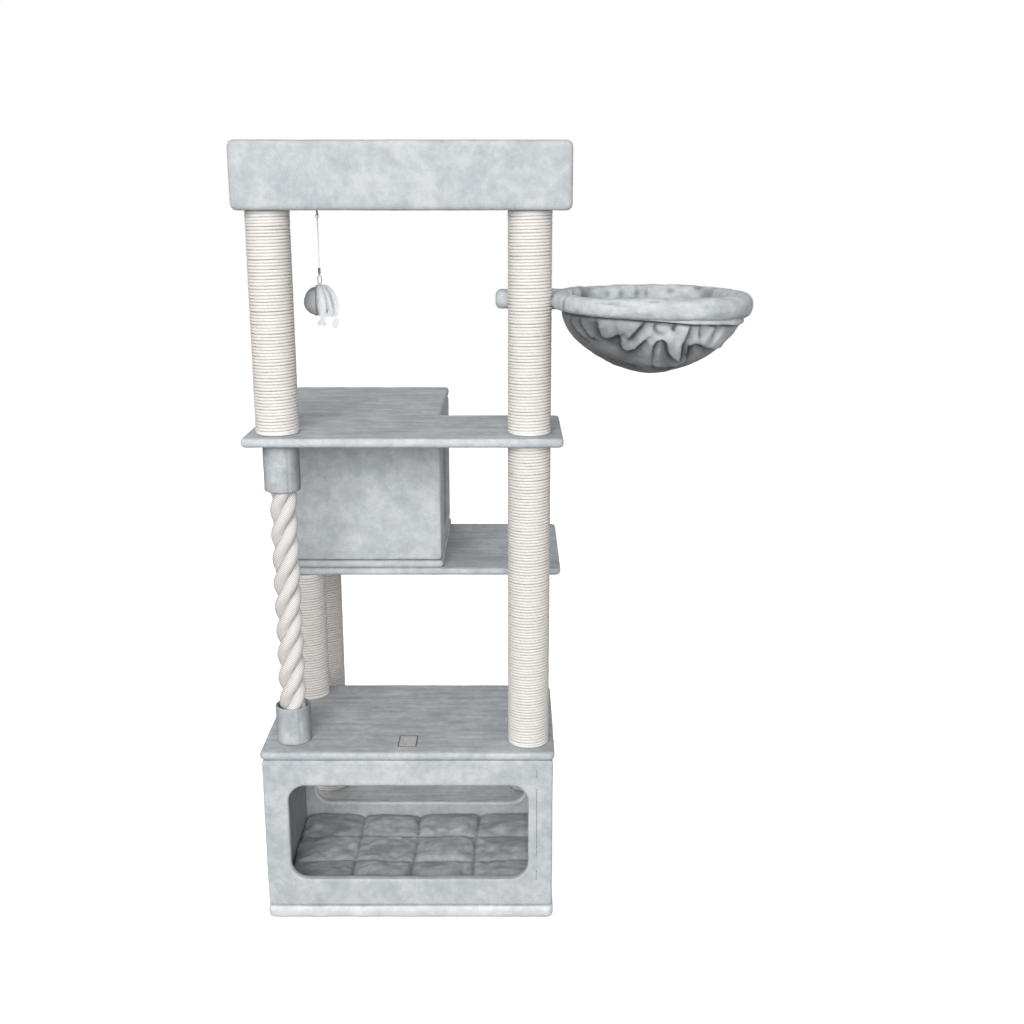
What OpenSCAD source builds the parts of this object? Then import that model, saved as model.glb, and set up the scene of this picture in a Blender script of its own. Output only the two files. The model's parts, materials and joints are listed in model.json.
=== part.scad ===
// Cat tree: a plush-covered base box on a wide base board, sisal posts, a climbing rope,
// a house on the middle level, a bridge shelf, a walled top bed, a side hammock and a toy.
// Millimetres. The origin is the centre of the base board's underside, +Z up, front at -Y.

/* [Base] */
// Width of the base board
base_w = 633; // [560:1:720]
// Depth of the base board
base_d = 680; // [640:1:760]
// Thickness of the base board
base_t = 30; // [24:1:36]
// Width across the base box panels
box_w = 628; // [560:1:636]
// Depth of the base box's top board
box_top_d = 382; // [350:1:400]
// Width of the base box's top board
box_top_w = 636; // [570:1:680]
// Height of the base box panels
box_panel_h = 351; // [320:1:380]
// Thickness of the base box's side panels, padded on both faces
side_panel_t = 30; // [22:1:34]

/* [Boards] */
// Thickness of the top board, bridge shelf and tray floor
board_t = 20; // [16:1:24]
// Thickness of the lower shelf
lower_shelf_t = 18; // [16:1:22]
// Thickness of the upright panels
panel_t = 18; // [14:1:20]
// How far a panel face stands behind the edge of the board on it
panel_inset = 4; // [2:1:8]
// Corner radius of the boards, seen from above
board_corner = 14; // [6:1:20]

/* [Base box openings] */
// Width of the front and rear openings
opening_w = 520; // [420:1:530]
// Height of the front and rear openings
opening_h = 224; // [180:1:240]
// Height of the openings' sill above the floor
opening_sill = 96; // [86:1:110]
// Corner radius of the openings
opening_corner = 38; // [20:1:50]

/* [Columns] */
// Radius of a post over its sisal
post_r = 45; // [40:0.5:48]
// Thickness of the sisal winding
sisal_t = 5.3; // [5:0.1:6]
// Radius of the cardboard core
core_r = 39.5; // [34:0.5:39.5]
// Wall thickness of the cardboard core
core_wall = 4; // [3:0.5:6]
// Place of the left column, from the middle
left_x = -256; // [-262:1:-250]
// Place of the right column, from the middle
right_x = 261; // [250:1:262]
// Place of the front row of columns
front_row_y = -274; // [-280:1:-270]
// Place of the middle row of columns
middle_row_y = -13; // [-16:1:-8]
// Place of the rear row of columns
rear_row_y = 247; // [240:1:255]

/* [Levels] */
// Height of the lower shelf's underside
lower_shelf_z = 710; // [690:1:730]
// Height of the bridge shelf's underside
bridge_z = 1066; // [1050:1:1080]
// Height of the top tray's underside
tray_z = 1530; // [1500:1:1560]

/* [Shelves and house] */
// Left edge of the shelves and the house
shelf_left = -321; // [-325:1:-316]
// Right edge of the lower shelf
lower_shelf_right = 338; // [325:1:345]
// Right edge of the bridge shelf
bridge_right = 330; // [320:1:345]
// Depth of the bridge shelf's front strip
bridge_d = 276; // [250:1:280]
// Right edge of the house's roof
house_right = 66; // [40:1:100]
// Front edge of the lower shelf
lower_shelf_front = -58; // [-62:1:-50]
// Thickness of the house's floor board
house_floor_t = 17; // [14:1:20]
// Nearest edge of the entrance in the house's right side
entrance_front = 75; // [60:1:90]
// Width of the entrance
entrance_w = 195; // [170:1:200]
// Height of the entrance
entrance_h = 235; // [200:1:250]
// Height of the entrance's sill over the house floor
entrance_sill = 30; // [26:1:40]
// Corner radius of the entrance
entrance_corner = 36; // [20:1:60]

/* [Top tray] */
// Left edge of the tray
tray_left = -316; // [-320:1:-312]
// Right edge of the tray
tray_right = 342; // [330:1:350]
// Depth of the tray
tray_d = 340; // [320:1:360]
// Height of the tray's walls
tray_h = 131; // [110:1:150]
// Thickness of the tray's padded walls
tray_wall = 25; // [20:1:30]

/* [Cushions] */
// Thickness of the base cushion
base_cushion_t = 40; // [30:1:50]
// Thickness of the tray cushion
tray_cushion_t = 40; // [30:1:60]
// Corner radius of the cushions
cushion_corner = 28; // [20:1:40]
// Clearance between a cushion and the boards around it
cushion_gap = 3; // [2:0.5:6]

/* [Climbing rope] */
// Radius of the climbing rope
rope_r = 28.5; // [20:0.5:30]
// Place of the rope, left to right
rope_x = -252; // [-256:1:-250]
// Place of the rope, front to back
rope_y = -268; // [-274:1:-264]
// Outer radius of the rope's end sleeves
sleeve_r = 37.5; // [36:0.5:40]
// Wall thickness of the rope's end sleeves
sleeve_wall = 4; // [3:0.5:5]
// Height of the lower sleeve
lower_sleeve_h = 84; // [60:1:110]
// Height of the upper sleeve
upper_sleeve_h = 102; // [80:1:130]
// Height of the wooden block that holds each rope end
rope_block_h = 30; // [25:1:40]

/* [Hammock] */
// Radius of the hammock's hoop, to the middle of its tube
hoop_r = 176; // [150:1:180]
// Radius of the padded rim around the hoop
rim_r = 21.5; // [16:0.5:22]
// Radius of the steel wire inside the rim
hoop_wire_r = 5; // [4:0.5:6]
// Place of the hammock's centre, left to right
hammock_x = 505.5; // [500:0.5:520]
// Place of the hammock's centre, front to back
hammock_y = -266; // [-270:1:-260]
// Height of the hammock's hoop
hammock_z = 1352; // [1300:1:1380]
// Depth of the bowl below the rim
bowl_depth = 122; // [100:1:130]
// Radius of the bowl at its top
bowl_r = 192; // [180:1:194]
// Thickness of the bowl's padded fabric
bowl_t = 5; // [4:0.5:8]
// Radius of the steel tube in the hammock's arm
arm_tube_r = 8; // [6:0.5:10]
// Place of the arm's rounded end, left to right
arm_end_x = 190; // [180:1:200]

/* [Toy] */
// Place of the toy, left to right
toy_x = -172; // [-180:1:-150]
// Place of the toy, front to back
toy_y = -180; // [-182:1:-150]
// Radius of the toy's ball
ball_r = 31; // [25:1:34]
// Height of the ball's centre
ball_z = 1345; // [1335:1:1345]

/* [Hidden] */

$fn = 64;
eps = 0.01;

plush = "#c6cbcd";
sisal = "#ece8e1";
cardboard = "#b08d62";
pine = "#d8b98a";
steel = "#a9adb1";

// Extents of the base and its box.
front_y = -base_d / 2;
back_y = base_d / 2;
box_front = front_y + panel_inset;
box_back = front_y + box_top_d - panel_inset;
box_half_w = box_w / 2;
box_inner_half_w = box_half_w - side_panel_t;
box_top_z = base_t + box_panel_h;
deck_z = box_top_z + board_t;

// Extents of the shelves, the house and the tray.
lower_deck_z = lower_shelf_z + lower_shelf_t;
house_floor_z = lower_deck_z + house_floor_t;
bridge_top_z = bridge_z + board_t;
bridge_back = front_y + bridge_d;
house_front = lower_shelf_front + panel_inset;
house_back = back_y - 2;
house_left = shelf_left + 1;
house_side_x = house_right - 1;
tray_back = front_y + tray_d;
tray_floor_z = tray_z + board_t;
tray_top_z = tray_z + tray_h;

// Each post is [x, y, lowest z, highest z].
post_lower_right = [right_x, front_row_y, deck_z, bridge_z];
post_upper_right = [right_x, front_row_y, bridge_top_z, tray_z];
post_upper_left = [left_x, front_row_y, bridge_top_z, tray_z];
post_middle_left = [left_x, middle_row_y, deck_z, lower_shelf_z];
post_middle_right = [right_x, middle_row_y, deck_z, lower_shelf_z];
post_rear_left = [left_x, rear_row_y, base_t, lower_shelf_z];
post_rear_right = [right_x, rear_row_y, base_t, lower_shelf_z];
posts = [
  post_lower_right, post_upper_right, post_upper_left, post_middle_left,
  post_middle_right, post_rear_left, post_rear_right
];

// Clearances inside a joint of parts on one body.
fit_gap = 0.2;
disc_h = 20;

// Bolts that hold the posts: shank, head and the recess that the head sits in.
bolt_r = 4;
bolt_hole_r = bolt_r + fit_gap;
bolt_head_r = 7.5;
bolt_head_h = 5;
recess_r = 9;
recess_h = 6;
bolt_grip = 18;
under_base = [[left_x, rear_row_y], [right_x, rear_row_y]];
under_deck = [
  [right_x, front_row_y], [rope_x, rope_y], [left_x, middle_row_y], [right_x, middle_row_y]
];
over_lower_shelf = [
  [left_x, middle_row_y], [right_x, middle_row_y], [left_x, rear_row_y], [right_x, rear_row_y]
];
over_tray_floor = [[left_x, front_row_y], [right_x, front_row_y]];
stud_places = [[left_x, front_row_y], [right_x, front_row_y]];

// Screws that hold the panels to the boards.
screw_r = 2;
screw_hole_r = screw_r + 0.1;
screw_head_r = 4;
screw_head_h = 3;
screw_len = 52;
base_screw_x = (box_half_w + box_inner_half_w) / 2;
base_screw_rows = [box_front + 70, (box_front + box_back) / 2, box_back - 70];
house_screw_xs = [house_left + panel_t / 2, house_side_x - panel_t / 2];
house_screw_rows = [house_front + 60, house_back - 30];
tray_screw_z = tray_z + board_t / 2;
tray_screw_xs = [tray_left + 110, (tray_left + tray_right) / 2, tray_right - 110];
tray_screw_ys = [front_y + 110, tray_back - 110];

// The hammock's arm runs behind the upper right post and ends on the hoop.
arm_y = front_row_y + post_r + rim_r + 0.5;
arm_bolt_xs = [right_x - 18, right_x + 18];
arm_bolt_r = 3;
arm_end_round = 12;
arm_joint_x = hammock_x - sqrt(pow(hoop_r, 2) - pow(arm_y - hammock_y, 2));
bowl_top_z = hammock_z - rim_r - 0.1;
// The bowl's side follows a superellipse, a little leaner than an ellipse.
bowl_power = 1.75;
bowl_steps = 20;

// The toy's chain of small rings, from the tray down.
eye_ring_r = 5;
eye_wire_r = 1.1;
eye_z = tray_z - eye_ring_r - eye_wire_r - 0.9;
eye_pivot_z = eye_z - eye_ring_r;
link_ring_r = 3.4;
link_wire_r = 0.6;
link_z = eye_pivot_z - 1;
link_pivot_z = link_z - link_ring_r;
cord_r = 1;
knot_ring_r = 2.2;
knot_wire_r = 0.7;
knot_z = link_pivot_z - 0.7;
knot_r = 1.6;
swivel_top_z = 1413;
swivel_h = 12;
clasp_w = 9;
clasp_h = 20;
clasp_t = 2.4;
clasp_bar = 3;
clasp_top_z = 1400;
ball_x = toy_x - 4;
ball_eye_z = ball_z + ball_r + 4.8;
ball_eye_r = 3.2;

// The toy's cord, from the knot under the link down to the swivel.
cord_points = [
  [-172, -180, 1508], [-172, -180, 1502], [-172, -180, 1496], [-171.9, -180, 1490],
  [-171.8, -180, 1484], [-171.7, -180, 1478], [-171.6, -180, 1472], [-171.5, -180, 1466],
  [-171.5, -180, 1460], [-171.5, -180, 1454], [-171.6, -180, 1448], [-171.7, -180, 1442],
  [-171.8, -180, 1436], [-171.9, -180, 1430], [-172, -180, 1424], [-172, -180, 1418],
  [-172, -180, 1413]
];
cord_sides = 8;

// The toy's feathers: [direction round the ball, hang below its centre, width].
feathers = [[-62, 44, 20], [-8, 61, 24], [42, 52, 22], [96, 38, 18]];
feather_t = 0.8;
quill_w = 6;

// ---------- shared shapes ----------

// A rectangle with rounded corners, from its lowest and highest corners.
module rounded_outline(x0, x1, y0, y1, r) {
  translate([x0 + r, y0]) square([x1 - x0 - 2 * r, y1 - y0]);
  translate([x0, y0 + r]) square([x1 - x0, y1 - y0 - 2 * r]);
  for (x = [x0 + r, x1 - r], y = [y0 + r, y1 - r]) translate([x, y]) circle(r);
}

// A level board with rounded corners.
module board(x0, x1, y0, y1, z, t, r) {
  translate([0, 0, z]) linear_extrude(t) rounded_outline(x0, x1, y0, y1, r);
}

// A plain upright block between two corners.
module block(low, high) {
  translate(low) cube(high - low);
}

// An upright bore or rod at [x, y].
module rod_at(place, z0, z1, r) {
  translate([place[0], place[1], z0]) cylinder(r = r, h = z1 - z0);
}

// A tube standing at [x, y].
module tube_at(place, z0, z1, r_out, r_in) {
  translate([place[0], place[1], z0]) linear_extrude(z1 - z0) difference() {
    circle(r_out);
    circle(r_in);
  }
}

// A ring of round wire lying in the XY plane.
module wire_ring(ring_r, wire_r) {
  rotate_extrude() translate([ring_r, 0]) circle(wire_r, $fn = 32);
}

// A bolt whose head is at z_head and whose shank runs to z_tip.
module bolt(place, z_head, z_tip) {
  away = sign(z_head - z_tip);
  rod_at(place, min(z_head, z_tip), max(z_head, z_tip), bolt_r);
  rod_at(
    place, min(z_head, z_head + away * bolt_head_h), max(z_head, z_head + away * bolt_head_h),
    bolt_head_r, $fn = 6
  );
}

// An upright screw with a countersunk head, pointing up or down.
module screw(x, y, z, up) {
  translate([x, y, z]) mirror([0, 0, up ? 0 : 1]) {
    cylinder(r1 = screw_head_r, r2 = screw_r, h = screw_head_h);
    cylinder(r = screw_r, h = screw_len);
  }
}

module screw_hole(x, y, z, up) {
  translate([x, y, z]) mirror([0, 0, up ? 0 : 1]) {
    translate([0, 0, -eps]) cylinder(r1 = screw_head_r + 0.2, r2 = screw_hole_r, h = screw_head_h + 0.2);
    translate([0, 0, -eps]) cylinder(r = screw_hole_r, h = screw_len + 1);
  }
}

// ---------- screws and their pilot holes ----------

module base_screws(hole) {
  for (x = [-base_screw_x, base_screw_x], y = base_screw_rows) {
    if (hole) screw_hole(x, y, 2, true);
    else screw(x, y, 2, true);
    if (hole) screw_hole(x, y, deck_z - 1, false);
    else screw(x, y, deck_z - 1, false);
  }
}

module house_screws(hole) {
  for (x = house_screw_xs, y = house_screw_rows) {
    if (hole) screw_hole(x, y, lower_shelf_z + 2, true);
    else screw(x, y, lower_shelf_z + 2, true);
    if (hole) screw_hole(x, y, bridge_top_z - 1, false);
    else screw(x, y, bridge_top_z - 1, false);
  }
}

// Screws through the tray's walls into the edges of its floor.
module tray_screws(hole) {
  for (x = tray_screw_xs) {
    translate([x, front_y + 2, tray_screw_z]) rotate([-90, 0, 0]) side_screw(hole);
    translate([x, tray_back - 2, tray_screw_z]) rotate([90, 0, 0]) side_screw(hole);
  }
  for (y = tray_screw_ys) {
    translate([tray_left + 2, y, tray_screw_z]) rotate([0, 90, 0]) side_screw(hole);
    translate([tray_right - 2, y, tray_screw_z]) rotate([0, -90, 0]) side_screw(hole);
  }
}

module side_screw(hole) {
  if (hole) screw_hole(0, 0, 0, true);
  else screw(0, 0, 0, true);
}

module panel_screws() {
  color(steel) {
    base_screws(false);
    house_screws(false);
    tray_screws(false);
  }
}

// ---------- base ----------

module base_board() {
  color(plush) difference() {
    board(-base_w / 2, base_w / 2, front_y, back_y, 0, base_t, board_corner);
    for (place = under_base) {
      rod_at(place, -1, base_t + 1, bolt_hole_r);
      rod_at(place, -1, recess_h + 1, recess_r);
    }
    base_screws(true);
    for (x = [-base_screw_x, base_screw_x], y = base_screw_rows) {
      translate([x, y, -1]) cylinder(r = screw_head_r + 0.2, h = 3);
    }
  }
}

// An upright panel across the box, with the wide rounded opening in it.
module opening_panel(y0) {
  color(plush) translate([0, y0 + panel_t, 0]) rotate([90, 0, 0]) linear_extrude(panel_t) {
    difference() {
      translate([-box_half_w, base_t]) square([box_w, box_panel_h]);
      rounded_outline(
        -opening_w / 2, opening_w / 2, opening_sill, opening_sill + opening_h, opening_corner
      );
    }
  }
}

module base_front_panel() {
  opening_panel(box_front);
}

module base_back_panel() {
  opening_panel(box_back - panel_t);
}

module base_side_panel(side) {
  color(plush) difference() {
    block(
      [min(side * box_half_w, side * box_inner_half_w), box_front + panel_t, base_t],
      [max(side * box_half_w, side * box_inner_half_w), box_back - panel_t, box_top_z]
    );
    base_screws(true);
  }
}

module base_left_panel() {
  base_side_panel(-1);
}

module base_right_panel() {
  base_side_panel(1);
}

module base_top_board() {
  color(plush) difference() {
    board(
      -box_top_w / 2, box_top_w / 2, front_y, front_y + box_top_d, box_top_z, board_t, board_corner
    );
    for (place = under_deck) rod_at(place, box_top_z - 1, deck_z + 1, bolt_hole_r);
    base_screws(true);
  }
}

module base_cushion() {
  color(plush) board(
    -box_inner_half_w + cushion_gap, box_inner_half_w - cushion_gap,
    box_front + panel_t + cushion_gap, box_back - panel_t - cushion_gap,
    base_t + 0.3, base_cushion_t, cushion_corner
  );
}

// A blank sewn-on patch near the front edge of the deck.
module care_patch() {
  color("#b9b6b0") board(-22, 18, front_y + 28, front_y + 84, deck_z, 1, 3);
}

// ---------- shelves and house ----------

module lower_shelf() {
  color(plush) difference() {
    board(
      shelf_left, lower_shelf_right, lower_shelf_front, back_y, lower_shelf_z, lower_shelf_t,
      board_corner
    );
    for (place = over_lower_shelf) {
      rod_at(place, lower_shelf_z - 1, lower_deck_z + 1, bolt_hole_r);
      rod_at(place, lower_deck_z - recess_h, lower_deck_z + 1, recess_r);
    }
    house_screws(true);
    for (x = house_screw_xs, y = house_screw_rows) {
      translate([x, y, lower_shelf_z - 1]) cylinder(r = screw_head_r + 0.2, h = 3);
    }
  }
}

// The bridge shelf and the house's roof are one L-shaped board.
module bridge_shelf() {
  color(plush) difference() {
    translate([0, 0, bridge_z]) linear_extrude(board_t) {
      rounded_outline(shelf_left, bridge_right, front_y, bridge_back, board_corner);
      rounded_outline(shelf_left, house_right, front_y, back_y, board_corner);
    }
    for (place = stud_places) rod_at(place, bridge_z - 1, bridge_top_z + 1, bolt_hole_r);
    house_screws(true);
  }
}

module house_floor() {
  color(plush) difference() {
    board(
      shelf_left, house_right + 2, lower_shelf_front + 1, back_y, lower_deck_z, house_floor_t,
      board_corner - 4
    );
    house_screws(true);
  }
}

module house_front_panel() {
  color(plush) block(
    [house_left, house_front, house_floor_z], [house_side_x, house_front + panel_t, bridge_z]
  );
}

module house_back_panel() {
  color(plush) block(
    [house_left, house_back - panel_t, house_floor_z], [house_side_x, house_back, bridge_z]
  );
}

module house_left_panel() {
  color(plush) difference() {
    block(
      [house_left, house_front + panel_t, house_floor_z],
      [house_left + panel_t, house_back - panel_t, bridge_z]
    );
    house_screws(true);
  }
}

module house_right_panel() {
  color(plush) difference() {
    translate([house_side_x - panel_t, 0, 0]) rotate([90, 0, 90]) linear_extrude(panel_t) {
      difference() {
        translate([house_front + panel_t, house_floor_z])
          square([house_back - house_front - 2 * panel_t, bridge_z - house_floor_z]);
        rounded_outline(
          entrance_front, entrance_front + entrance_w, house_floor_z + entrance_sill,
          house_floor_z + entrance_sill + entrance_h, entrance_corner
        );
      }
    }
    house_screws(true);
  }
}

// ---------- posts ----------

module arm_bolt_holes(r) {
  for (x = arm_bolt_xs) {
    translate([x, arm_y + rim_r + 10, hammock_z]) rotate([90, 0, 0]) cylinder(r = r, h = 80);
  }
}

module core(post) {
  color(cardboard) tube_at(post, post[2], post[3], core_r, core_r - core_wall);
}

module winding(post) {
  color(sisal) tube_at(post, post[2], post[3], post_r, post_r - sisal_t);
}

module core_lower_right() {
  core(post_lower_right);
}

module core_upper_right() {
  difference() {
    core(post_upper_right);
    arm_bolt_holes(arm_bolt_r + fit_gap);
  }
}

module core_upper_left() {
  core(post_upper_left);
}

module core_middle_left() {
  core(post_middle_left);
}

module core_middle_right() {
  core(post_middle_right);
}

module core_rear_left() {
  core(post_rear_left);
}

module core_rear_right() {
  core(post_rear_right);
}

module sisal_lower_right() {
  winding(post_lower_right);
}

module sisal_upper_right() {
  difference() {
    winding(post_upper_right);
    arm_bolt_holes(arm_bolt_r + fit_gap);
  }
}

module sisal_upper_left() {
  winding(post_upper_left);
}

module sisal_middle_left() {
  winding(post_middle_left);
}

module sisal_middle_right() {
  winding(post_middle_right);
}

module sisal_rear_left() {
  winding(post_rear_left);
}

module sisal_rear_right() {
  winding(post_rear_right);
}

// A bored wooden disc closes each end of every core and takes the bolt.
module post_end_discs() {
  color(pine) for (post = posts, z = [post[2], post[3] - disc_h]) {
    tube_at(post, z, z + disc_h, core_r - core_wall - fit_gap, bolt_hole_r);
  }
}

module board_bolts() {
  color(steel) {
    for (place = under_base) bolt(place, recess_h, base_t + bolt_grip);
    for (place = under_deck) bolt(place, box_top_z, deck_z + bolt_grip);
    for (place = over_lower_shelf) {
      bolt(place, lower_deck_z - recess_h, lower_shelf_z - bolt_grip);
    }
    for (place = over_tray_floor) bolt(place, tray_floor_z - recess_h, tray_z - bolt_grip);
  }
}

// Headless studs join what stands over and under the bridge shelf.
module post_studs() {
  color(steel) for (place = stud_places) {
    rod_at(place, bridge_z - bolt_grip, bridge_top_z + bolt_grip, bolt_r);
  }
}

// ---------- climbing rope ----------

module climbing_rope() {
  color(sisal) rod_at([rope_x, rope_y], deck_z + rope_block_h, bridge_z - rope_block_h, rope_r);
}

module rope_sleeve_lower() {
  color(plush) tube_at(
    [rope_x, rope_y], deck_z, deck_z + lower_sleeve_h, sleeve_r, sleeve_r - sleeve_wall
  );
}

module rope_sleeve_upper() {
  color(plush) tube_at(
    [rope_x, rope_y], bridge_z - upper_sleeve_h, bridge_z, sleeve_r, sleeve_r - sleeve_wall
  );
}

module rope_end_blocks() {
  color(pine) difference() {
    for (z = [deck_z, bridge_z - rope_block_h]) {
      rod_at([rope_x, rope_y], z, z + rope_block_h, sleeve_r - sleeve_wall - fit_gap);
    }
    rod_at([rope_x, rope_y], deck_z - 1, deck_z + bolt_grip + 1, bolt_hole_r);
    rod_at(stud_places[0], bridge_z - bolt_grip - 1, bridge_z + 1, bolt_hole_r);
  }
}

// ---------- top tray ----------

module tray_floor() {
  color(plush) difference() {
    block(
      [tray_left + tray_wall, front_y + tray_wall, tray_z],
      [tray_right - tray_wall, tray_back - tray_wall, tray_floor_z]
    );
    for (place = over_tray_floor) {
      rod_at(place, tray_z - 1, tray_floor_z + 1, bolt_hole_r);
      rod_at(place, tray_floor_z - recess_h, tray_floor_z + 1, recess_r);
    }
    rod_at([toy_x, toy_y], tray_z - 1, tray_z + 13, eye_wire_r + 0.1);
    tray_screws(true);
  }
}

// One of the tray's long walls, with its outer corners rounded.
module tray_long_wall(y0, y1) {
  color(plush) difference() {
    intersection() {
      board(tray_left, tray_right, front_y, tray_back, tray_z, tray_h, board_corner);
      block([tray_left - 1, y0, tray_z - 1], [tray_right + 1, y1, tray_top_z + 1]);
    }
    tray_screws(true);
    tray_screw_mouths();
  }
}

// The screw heads sit 2 mm under the plush, in open mouths.
module tray_screw_mouths() {
  for (x = tray_screw_xs, y = [front_y - 1, tray_back - 2]) {
    translate([x, y, tray_screw_z]) rotate([-90, 0, 0]) cylinder(r = screw_head_r + 0.2, h = 3);
  }
  for (y = tray_screw_ys, x = [tray_left - 1, tray_right - 2]) {
    translate([x, y, tray_screw_z]) rotate([0, 90, 0]) cylinder(r = screw_head_r + 0.2, h = 3);
  }
}

module tray_front_wall() {
  tray_long_wall(front_y, front_y + tray_wall);
}

module tray_back_wall() {
  tray_long_wall(tray_back - tray_wall, tray_back);
}

module tray_side_wall(x0) {
  color(plush) difference() {
    block(
      [x0, front_y + tray_wall, tray_z], [x0 + tray_wall, tray_back - tray_wall, tray_top_z]
    );
    tray_screws(true);
    tray_screw_mouths();
  }
}

module tray_left_wall() {
  tray_side_wall(tray_left);
}

module tray_right_wall() {
  tray_side_wall(tray_right - tray_wall);
}

module tray_cushion() {
  color(plush) board(
    tray_left + tray_wall + cushion_gap, tray_right - tray_wall - cushion_gap,
    front_y + tray_wall + cushion_gap, tray_back - tray_wall - cushion_gap,
    tray_floor_z + 0.3, tray_cushion_t, cushion_corner
  );
}

// ---------- hammock ----------

module arm_rod(x0, x1, r) {
  translate([x0, arm_y, hammock_z]) rotate([0, 90, 0]) cylinder(r = r, h = x1 - x0);
}

module hoop_ring(wire_r) {
  translate([hammock_x, hammock_y, hammock_z]) wire_ring(hoop_r, wire_r, $fn = 128);
}

// The steel tube of the arm, from its capped end to the hoop.
module hammock_arm() {
  color(steel) difference() {
    arm_rod(arm_end_x + 8, arm_joint_x, arm_tube_r);
    arm_rod(arm_end_x + 6, arm_joint_x + 1, arm_tube_r - 1.5);
    hoop_ring(hoop_wire_r + fit_gap);
    arm_bolt_holes(arm_bolt_r + fit_gap);
  }
}

// Half of the arm cover's outline, from its rounded end along its length.
module arm_cover_outline() {
  length = arm_joint_x - arm_end_x;
  translate([0, arm_end_round]) square([rim_r, length - arm_end_round]);
  square([rim_r - arm_end_round, arm_end_round + 1]);
  intersection() {
    translate([rim_r - arm_end_round, arm_end_round]) circle(arm_end_round, $fn = 48);
    square([rim_r, arm_end_round + 1]);
  }
}

// Padded plush around the arm, closed by a round end.
module hammock_arm_cover() {
  color(plush) difference() {
    translate([arm_end_x, arm_y, hammock_z]) rotate([0, 90, 0]) {
      rotate_extrude() arm_cover_outline();
    }
    arm_rod(arm_end_x + 7.8, arm_joint_x + rim_r, arm_tube_r + fit_gap);
    hoop_ring(rim_r + fit_gap);
    arm_bolt_holes(arm_bolt_r + fit_gap);
  }
}

module hammock_hoop() {
  color(steel) hoop_ring(hoop_wire_r);
}

// The padded rim is open along a narrow seam on its underside and where the arm comes in.
module hammock_rim() {
  color(plush) difference() {
    translate([hammock_x, hammock_y, hammock_z]) rotate_extrude($fn = 128) {
      translate([hoop_r, 0]) difference() {
        circle(rim_r, $fn = 48);
        circle(hoop_wire_r + fit_gap, $fn = 32);
        translate([-1, -rim_r - 1]) square([2, rim_r + 1]);
      }
    }
    arm_rod(arm_joint_x - 2 * rim_r, arm_joint_x, arm_tube_r + fit_gap);
  }
}

// Half-width of the bowl at a depth below its top.
function bowl_half(depth) = bowl_r * pow(1 - pow(depth / bowl_depth, bowl_power), 1 / bowl_power);

module hammock_bowl() {
  outer = [for (i = [0:bowl_steps]) [
    bowl_half(bowl_depth * sin(90 * i / bowl_steps)), -bowl_depth * sin(90 * i / bowl_steps)
  ]];
  shrink = (bowl_r - bowl_t) / bowl_r;
  drop = (bowl_depth - bowl_t) / bowl_depth;
  inner = [for (i = [0:bowl_steps]) [
    outer[bowl_steps - i][0] * shrink, outer[bowl_steps - i][1] * drop
  ]];
  color(plush) translate([hammock_x, hammock_y, bowl_top_z]) rotate_extrude($fn = 96) {
    polygon(concat(outer, inner));
  }
}

// Two bolts and washers clamp the arm to the post.
module hammock_bolts() {
  color(steel) for (x = arm_bolt_xs) {
    translate([x, arm_y + rim_r, hammock_z]) rotate([90, 0, 0]) {
      translate([0, 0, -1.5]) cylinder(r = 9, h = 1.5);
      translate([0, 0, -5.5]) cylinder(r = 5.5, h = 4, $fn = 6);
      translate([0, 0, -1.5]) cylinder(r = arm_bolt_r, h = 2 * rim_r + 22);
    }
  }
}

// ---------- toy ----------

// A screw eye in the tray's underside, its ring in the YZ plane.
module toy_eye() {
  color(steel) {
    translate([toy_x, toy_y, eye_z]) rotate([0, 90, 0]) wire_ring(eye_ring_r, eye_wire_r);
    rod_at([toy_x, toy_y], eye_z + eye_ring_r, tray_z + 12, eye_wire_r);
  }
}

// A small split ring through the eye.
module toy_link() {
  color(steel) translate([toy_x, toy_y, link_z]) rotate([90, 0, 0]) {
    wire_ring(link_ring_r, link_wire_r);
  }
}

// Points of a round section of the cord at one of its route's points.
function cord_ring(p) = [for (i = [0:cord_sides - 1]) [
  p[0] + cord_r * cos(360 * i / cord_sides), p[1] + cord_r * sin(360 * i / cord_sides), p[2]
]];

// The hanging cord: level round sections joined side by side.
module toy_cord() {
  rings = len(cord_points);
  color("white") polyhedron(
    points = [for (p = cord_points) each cord_ring(p)],
    faces = concat(
      [[for (i = [0:cord_sides - 1]) i]],
      [for (k = [0:rings - 2], i = [0:cord_sides - 1]) [
        k * cord_sides + i, (k + 1) * cord_sides + i,
        (k + 1) * cord_sides + (i + 1) % cord_sides, k * cord_sides + (i + 1) % cord_sides
      ]],
      [[for (i = [cord_sides - 1:-1:0]) (rings - 1) * cord_sides + i]]
    )
  );
}

// The loop of cord tied round the link, with its knot.
module toy_knot() {
  color("white") {
    translate([toy_x, toy_y, knot_z]) rotate([0, 90, 0]) wire_ring(knot_ring_r, knot_wire_r);
    rod_at([toy_x, toy_y], knot_z - knot_ring_r - 2.4, knot_z - knot_ring_r + 0.3, knot_r);
  }
}

// The barrel swivel on the cord's lower end, bored for the clasp's stem.
module toy_swivel() {
  color(steel) difference() {
    rod_at([toy_x, toy_y], swivel_top_z - swivel_h, swivel_top_z, 2.6);
    rod_at([toy_x, toy_y], swivel_top_z - swivel_h - 1, swivel_top_z - swivel_h + 6, 1.3);
  }
}

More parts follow.
